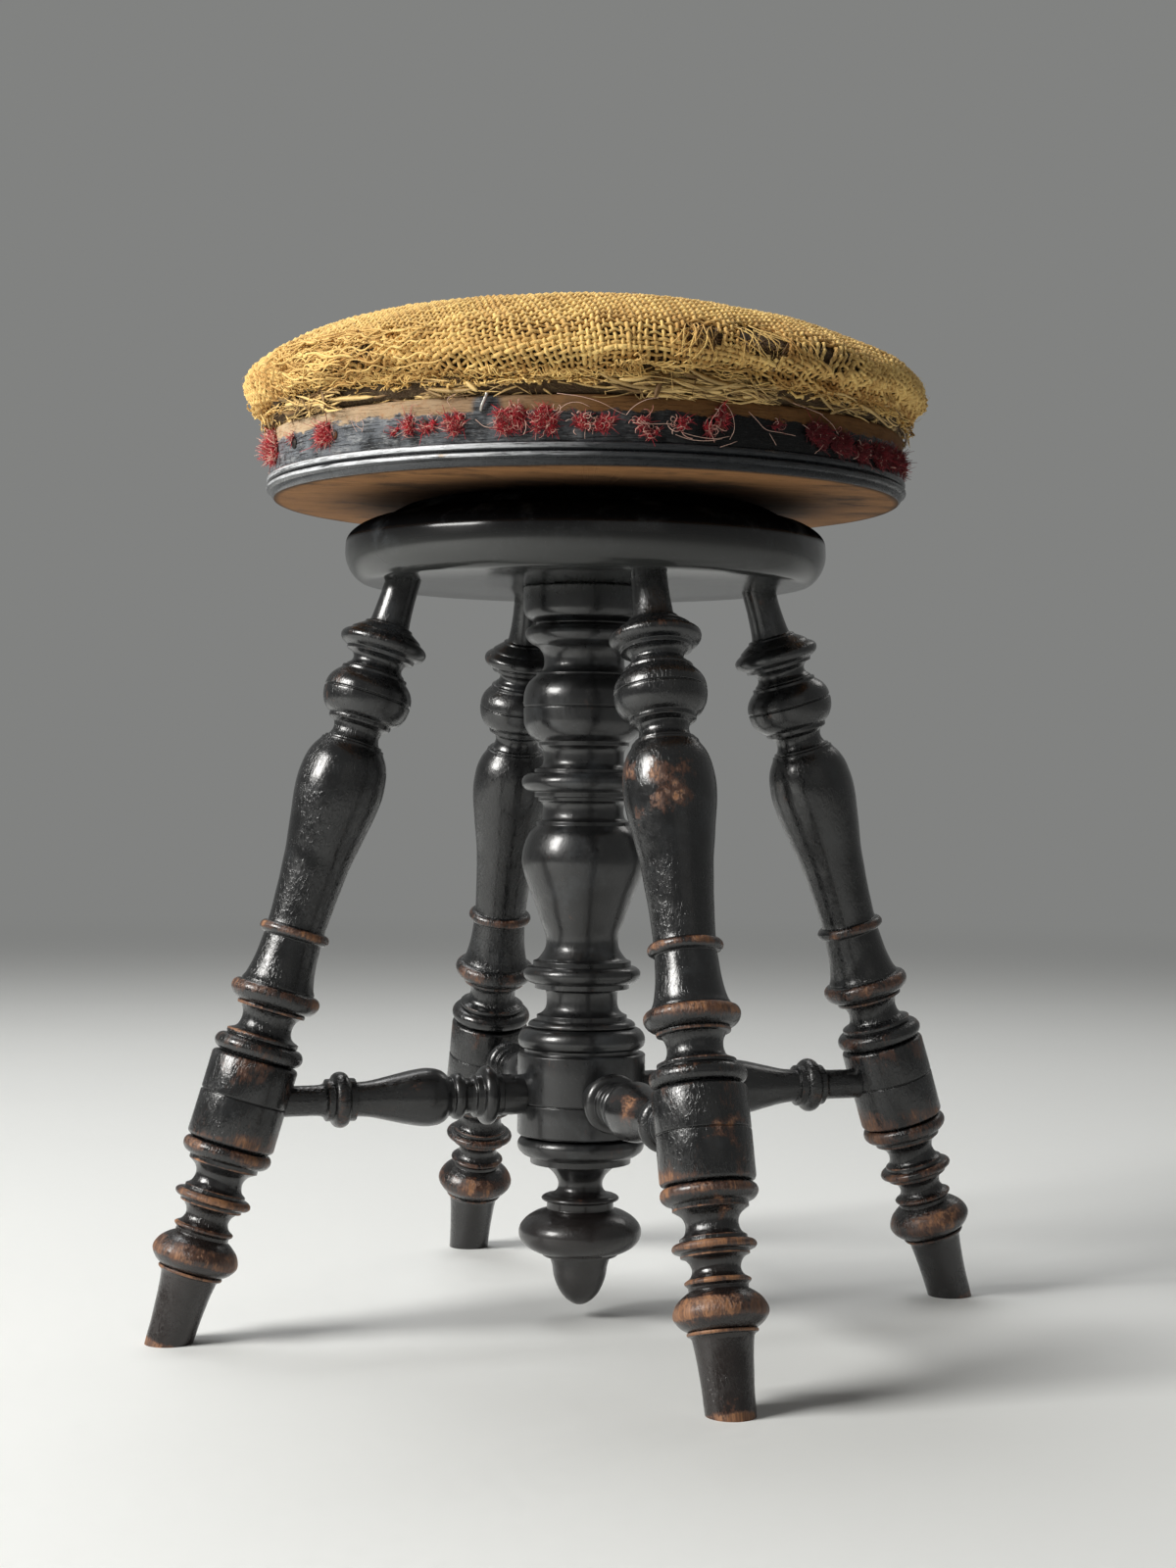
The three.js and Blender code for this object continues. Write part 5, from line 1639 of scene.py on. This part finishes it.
# Loose threads over the band, as runs of turn in degrees, height and how far they stand off it
BAND_THREADS = (
    ((-81.4, 449, 2), (-79.8, 445, 2.4), (-78.2, 441.6, 2), (-75, 440.8, 1.6), (-71.8, 440.2, 1)),
    ((-77.2, 440, 1), (-76.7, 437.6, 1.6), (-76.1, 434.6, 2.2)),
    ((-73, 455, 3), (-70, 453, 4), (-66.4, 451.4, 3.4)),
    ((-66.6, 452, 2), (-64.2, 447.5, 3.4), (-62, 443.6, 2)),
    ((-66.4, 437.5, 4), (-67.6, 434.8, 5), (-68.8, 432.4, 5)),
    ((-113, 454, 2), (-109, 452.2, 3.2), (-106, 449.6, 3.6), (-103.4, 446, 2), (-102, 444.6, 1)),
    ((-102, 444.6, 1), (-101, 448, 2.6), (-99, 451.4, 3.4), (-96.6, 453, 2)),
    ((-101, 441, 2), (-97.6, 440.6, 3), (-95, 441, 2.4), (-93.8, 440.2, 1)),
    ((-87.9, 436.6, 2), (-88.6, 441, 3), (-87.4, 447, 3.6), (-86, 451.6, 3),
     (-84.7, 447, 3.6), (-84.2, 440, 3), (-84.8, 435.4, 2)),
    ((-94, 436.4, 1.4), (-91.6, 434.4, 2), (-88.6, 434.2, 2.6), (-86.2, 435.6, 2.2)),
    ((-93, 437.6, 1.4), (-90.4, 435.8, 2.4), (-87.4, 435.4, 2.2), (-84.8, 437, 1.6)),
    ((-86.6, 431.6, 3), (-84.8, 433.4, 2.6), (-83.4, 435, 1.6)),
    ((-134, 441, 1.4), (-131.4, 438.6, 2.2), (-129, 437.2, 2)),
    ((-130.5, 449, 2), (-131, 452.6, 2.6), (-129.6, 455, 2)),
    ((-126.3, 443, 1.2), (-124.6, 439.4, 2), (-122.4, 439, 1.6)),
    ((-150.8, 449, 1), (-150.2, 445.6, 2), (-149.3, 441.4, 1.4)),
    ((-149.2, 449.4, 1), (-149.4, 445, 1.8), (-147.9, 442, 1.2)),
    ((-148.6, 447.6, 1), (-147.6, 444.8, 2), (-148.2, 441, 1.2)),
    ((-112.6, 447, 1.4), (-111.2, 449.4, 2.4), (-109.4, 449.8, 2), (-107.8, 448, 1.2)),
)


class STOOL_OT_tear_plush(bpy.types.Operator):
    """Leaves the tufts, threads, tacks and pin of the torn-off plush cover on the band"""

    bl_idname = "stool.tear_plush"
    bl_label = "Tear off the plush"

    def execute(self, context):
        chance = random.Random(71)
        piles, threads = [Strands(3) for _ in range(PILE_PIECES)], Strands(4)
        for index, (turn, height, width, tall) in enumerate(TUFTS):
            for part in range(max(2, round(width * tall / 22))):
                aside = chance.uniform(-0.34, 0.34) * width
                lump = (turn + math.degrees(aside / BAND_RADIUS), height + chance.uniform(-0.28, 0.28) * tall,
                        width * chance.uniform(0.28, 0.56), tall * chance.uniform(0.36, 0.7))
                self.pad(index * 9 + part, *lump)
                for _ in range(round(lump[2] * lump[3] * 5)):
                    self.pile(piles[index % PILE_PIECES], chance, *lump)
            curls = 1.0 if -121 < turn < -82 else 0.25
            for _ in range(round(2 + curls * width * tall / 5)):
                self.curl(threads, chance, turn, height, width, tall)
        for run in BAND_THREADS:
            self.run(threads, run, 0.12, chance.uniform(0.9, 1.4))
        for index, pile in enumerate(piles, 1):
            finish_piece(pile.piece(f"plush_pile_{index}"), material("Plush", plush), "seat", "hessian")
        finish = material("Backing thread", backing_thread)
        finish_piece(threads.piece("plush_threads"), finish, "seat", "hessian")
        pads = [piece for piece in bpy.context.scene.objects if piece.name.startswith("plush_pad")]
        deselect_all()
        for pad in pads:
            pad.select_set(True)
        bpy.context.view_layer.objects.active = pads[0]
        bpy.ops.object.join()
        joined = bpy.context.object
        joined.name = joined.data.name = "plush_scraps"
        bpy.ops.object.shade_smooth()
        add_attribute(joined.data, "shade", self.scrap_shades(coordinates(joined)))
        finish_piece(joined, material("Plush", plush), "seat", "hessian")
        self.tacks()
        self.pin()
        return {"FINISHED"}

    @staticmethod
    def scrap_shades(points):
        """Mottled, and darker round the right: partly where the plush has kept its colour, partly painted
        shade away from the window light.
        """
        degrees = np.degrees(np.arctan2(points[:, 1], points[:, 0]))
        kept_and_shaded = np.interp(degrees, (-100, -70, 120, 160), (0.1, 0.65, 0.4, 0))
        return 0.45 + 0.45 * wander(points, 0.0022, 3) - kept_and_shaded

    @staticmethod
    def pad(index, turn, height, width, tall):
        """A scrap of the cover, crumpled under its pile."""
        deselect_all()
        bpy.ops.mesh.primitive_ico_sphere_add(subdivisions=2, radius=1)
        piece = bpy.context.object
        piece.name = f"plush_pad_{index}"
        points = coordinates(piece)
        lumps = 1 + 0.38 * wander(points + index * 3.3, 0.55, index)
        points = points * lumps[:, None] * np.array((1.3, width * 0.45, tall * 0.45))
        points[:, 0] = np.maximum(points[:, 0], -0.4)
        spot = math.radians(turn)
        around = spot + points[:, 1] / BAND_RADIUS
        out = BAND_RADIUS + 0.5 + points[:, 0]
        set_coordinates(piece, round_axis(out, around, height + points[:, 2]) * MM)

    @staticmethod
    def pile(pile, chance, turn, height, width, tall):
        """One short strand of the crimson pile."""
        spin, share = chance.uniform(0, FULL_TURN), math.sqrt(chance.random()) * chance.uniform(0.75, 1.15)
        # Lighter strands on the left, toward the window light, and darker round the right: partly fading,
        # partly painted light and shade.
        faded_and_lit = float(np.interp(turn, (-128, -118, -84, -70, 120, 160), (0.12, 0, -0.15, -0.75, -0.3, 0.16)))
        side, rise = width / 2 * share * math.cos(spin), tall / 2 * share * math.sin(spin)
        proud = 0.4 + 0.9 * (1 - min(share, 1))
        root = on_band(turn + math.degrees(side / BAND_RADIUS), height + rise, proud)
        out = root * (1, 1, 0) / np.linalg.norm(root[:2])
        way = out * 0.55 + np.array([chance.gauss(0, 0.8) for _ in range(3)])
        way /= np.linalg.norm(way)
        bend = np.array([chance.gauss(0, 0.95) for _ in range(3)])
        length = chance.triangular(0.5, 3.3, 1.2)
        shares = np.linspace(0, 1, 3)[:, None]
        line = root + way * shares * length + bend * shares**2 * length * 0.9
        thin = chance.uniform(0.12, 0.26) * np.array((1, 0.9, 0.45))
        pile.add(line, thin, thin, np.cross(way, (0.2, 0.3, 0.9)), chance.uniform(0.05, 1.1) + faded_and_lit)

    @staticmethod
    def curl(threads, chance, turn, height, width, tall):
        """A curly backing thread that has sprung out of a tuft."""
        steps = 12
        shares = np.linspace(0, 1, steps)
        length = chance.triangular(1.6, 9, 3)
        start_side = chance.uniform(-0.45, 0.45) * width
        start_rise = chance.uniform(-0.4, 0.45) * tall
        heading = chance.uniform(0, FULL_TURN)
        swirl = chance.uniform(-5, 5)
        side = start_side + np.cumsum(np.cos(heading + swirl * shares)) * length / steps
        rise = start_rise + np.cumsum(np.sin(heading + swirl * shares)) * length / steps
        out = 1.2 + chance.uniform(0.6, 2.8) * np.sin(shares * math.pi * chance.uniform(0.5, 1))
        around = math.radians(turn) + side / BAND_RADIUS
        line = round_axis(BAND_RADIUS + out, around, height + np.clip(rise, -9, 9))
        up = round_axis(1, around, 0)
        thick = chance.uniform(0.08, 0.17)
        threads.add(line, thick, thick, up, chance.uniform(0.2, 1.25))

    @staticmethod
    def run(threads, run, thick, tint):
        line = through([on_band(*row) for row in run])
        threads.add(line, thick, thick, line * (1, 1, 0), tint)

    @staticmethod
    def tacks():
        """Small domed tacks that hold the tufts."""
        dome = curve((0.8, 2.1), (1.15, 1), (1.2, 0))
        rows = ((-9, 0), (-6, 0.85), (0.02, 0.9), (0.02, 2.6), (0.3, 2.65), *dome)
        blank = turned("tack_blank", rows, 14)
        for index in range(TACK_COUNT):
            low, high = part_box(f"cover_tack_{index + 1}")
            middle = (low + high) / 2
            turn = math.atan2(middle.y, middle.x)
            place = upright(turn) @ Matrix.Translation(((BAND_RADIUS + 0.1) * MM, 0, middle.z))
            laid = place @ Matrix.Rotation(math.pi / 2, 4, "Y")
            tack = copied(blank, f"iron_cover_tack_{index + 1}", laid, index)
            shade(tack)
            finish_piece(tack, material(*IRON), "seat", "bare_steel", f"cover_tack_{index + 1}")
        bpy.data.objects.remove(blank)

    @staticmethod
    def pin():
        """A bent steel pin that stands on the band."""
        rod = Strands(10)
        line = through([on_band(*row) for row in PIN_RUN])
        rod.add(line, 0.8, 0.8, line * (1, 1, 0), 0.5)
        finish_piece(rod.piece("bent_pin"), material(*STEEL), "seat", "bare_steel")


# The stage: floor, light and camera

VIEW_TURN = math.radians(-18.292)  # the photograph looks along this turn from +Y
VIEW_DISTANCE, VIEW_HEIGHT = 1.3028, 0.27364
VIEW_PITCH, VIEW_ROLL, VIEW_YAW = 0.002647, 0.008209, 0.001743
VIEW_LENS = 57.562


def area_light(name, place, aim, width, tall, watts, hue):
    light = bpy.data.lights.new(name, "AREA")
    light.shape, light.size, light.size_y = "RECTANGLE", width, tall
    light.energy, light.color = watts, hue
    lamp = bpy.data.objects.new(name, light)
    bpy.context.scene.collection.objects.link(lamp)
    lamp.location = place
    lamp.rotation_euler = (Vector(aim) - Vector(place)).to_track_quat("-Z", "Y").to_euler()


class STOOL_OT_set_stage(bpy.types.Operator):
    """Sets a plain pale floor, soft studio light and the camera"""

    bl_idname = "stool.set_stage"
    bl_label = "Set the stage"

    def execute(self, context):
        scene = context.scene
        deselect_all()
        bpy.ops.mesh.primitive_plane_add(size=24, location=(0, 0, 0))
        floor = context.object
        floor.name = "studio_floor"
        floor.data.materials.append(material("Studio floor", paint_floor))
        side = Matrix.Rotation(VIEW_TURN, 4, "Z")
        lamps = (
            ("Window light", (-2.1, -1.0, 1.65), (0, 0, 0.3), 1.15, 1.05, 92, (1, 0.985, 0.955)),
            ("Edge light", (1.3, 1.7, 1.9), (0, 0, 0.4), 0.7, 0.7, 3, (1, 0.98, 0.95)),
            ("Fill light", (0.9, -2.4, 1.3), (0, 0, 0.3), 1.6, 1.2, 0.9, (1, 0.96, 0.9)),
            ("Top light", (-0.4, 0.9, 2.5), (0, 0, 0.4), 1.3, 1.3, 24, (1, 1, 1)),
        )
        for name, place, aim, width, tall, watts, hue in lamps:
            area_light(name, side @ Vector(place), aim, width, tall, watts, hue)
        self.sky(scene)
        self.camera(scene, side)
        scene.view_settings.view_transform = "Standard"
        return {"FINISHED"}

    @staticmethod
    def sky(scene):
        """An even, dim sky, which the camera and the gloss see as the pale backdrop."""
        scene.world = bpy.data.worlds.new("Studio")
        scene.world.use_nodes = True
        tree = scene.world.node_tree
        tree.nodes.clear()
        dim = placed(tree, "ShaderNodeBackground", {"Color": (1, 0.98, 0.95, 1), "Strength": 0.06})
        pale = placed(tree, "ShaderNodeBackground", {"Color": tone(colours().backdrop), "Strength": 1.0})
        blend = placed(tree, "ShaderNodeMixShader", {0: seen(tree), 1: dim, 2: pale})
        node(tree, "ShaderNodeOutputWorld", {"Surface": blend})

    @staticmethod
    def camera(scene, side):
        """The photograph's eye, from the fit of its ellipses and verticals."""
        lens = bpy.data.cameras.new("Camera")
        lens.sensor_width, lens.lens = 36, VIEW_LENS
        lens.clip_start, lens.clip_end = 0.05, 60
        eye = bpy.data.objects.new("Camera", lens)
        scene.collection.objects.link(eye)
        ahead = Vector((math.sin(VIEW_YAW), math.cos(VIEW_YAW), math.tan(VIEW_PITCH))).normalized()
        right = Vector((math.cos(VIEW_YAW), -math.sin(VIEW_YAW), 0))
        up = right.cross(ahead)
        rolled_right = right * math.cos(VIEW_ROLL) + up * math.sin(VIEW_ROLL)
        rolled_up = up * math.cos(VIEW_ROLL) - right * math.sin(VIEW_ROLL)
        facing = Matrix((rolled_right, rolled_up, -ahead)).transposed().to_4x4()
        eye.matrix_world = side @ Matrix.Translation((0, -VIEW_DISTANCE, VIEW_HEIGHT)) @ facing
        scene.camera = eye


STEPS = (
    STOOL_OT_turn_legs, STOOL_OT_turn_stretchers, STOOL_OT_turn_centre, STOOL_OT_fit_ironwork,
    STOOL_OT_turn_board, STOOL_OT_stuff_seat, STOOL_OT_lay_hay, STOOL_OT_weave_cover, STOOL_OT_fray_cover,
    STOOL_OT_tear_plush, STOOL_OT_set_stage,
)


class STOOL_PT_pieces(bpy.types.Panel):
    """Lists the stool's pieces in the order that they are made"""

    bl_idname = "STOOL_PT_pieces"
    bl_label = "Revolving piano stool"
    bl_space_type = "VIEW_3D"
    bl_region_type = "UI"
    bl_category = "Stool"

    def draw(self, context):
        for step in STEPS:
            self.layout.operator(step.bl_idname)
        for name in StoolSizes.__annotations__:
            self.layout.prop(context.scene.stool_sizes, name)
        for name in StoolColours.__annotations__:
            self.layout.prop(context.scene.stool_colours, name)


def register():
    for kind in (StoolSizes, StoolColours, *STEPS, STOOL_PT_pieces):
        bpy.utils.register_class(kind)
    bpy.types.Scene.stool_sizes = PointerProperty(type=StoolSizes)
    bpy.types.Scene.stool_colours = PointerProperty(type=StoolColours)


def unregister():
    del bpy.types.Scene.stool_colours
    del bpy.types.Scene.stool_sizes
    for kind in (STOOL_PT_pieces, *reversed(STEPS), StoolColours, StoolSizes):
        bpy.utils.unregister_class(kind)


def main():
    register()
    for step in STEPS:
        family, name = step.bl_idname.split(".")
        getattr(getattr(bpy.ops, family), name)()


if __name__ == "__main__":
    main()
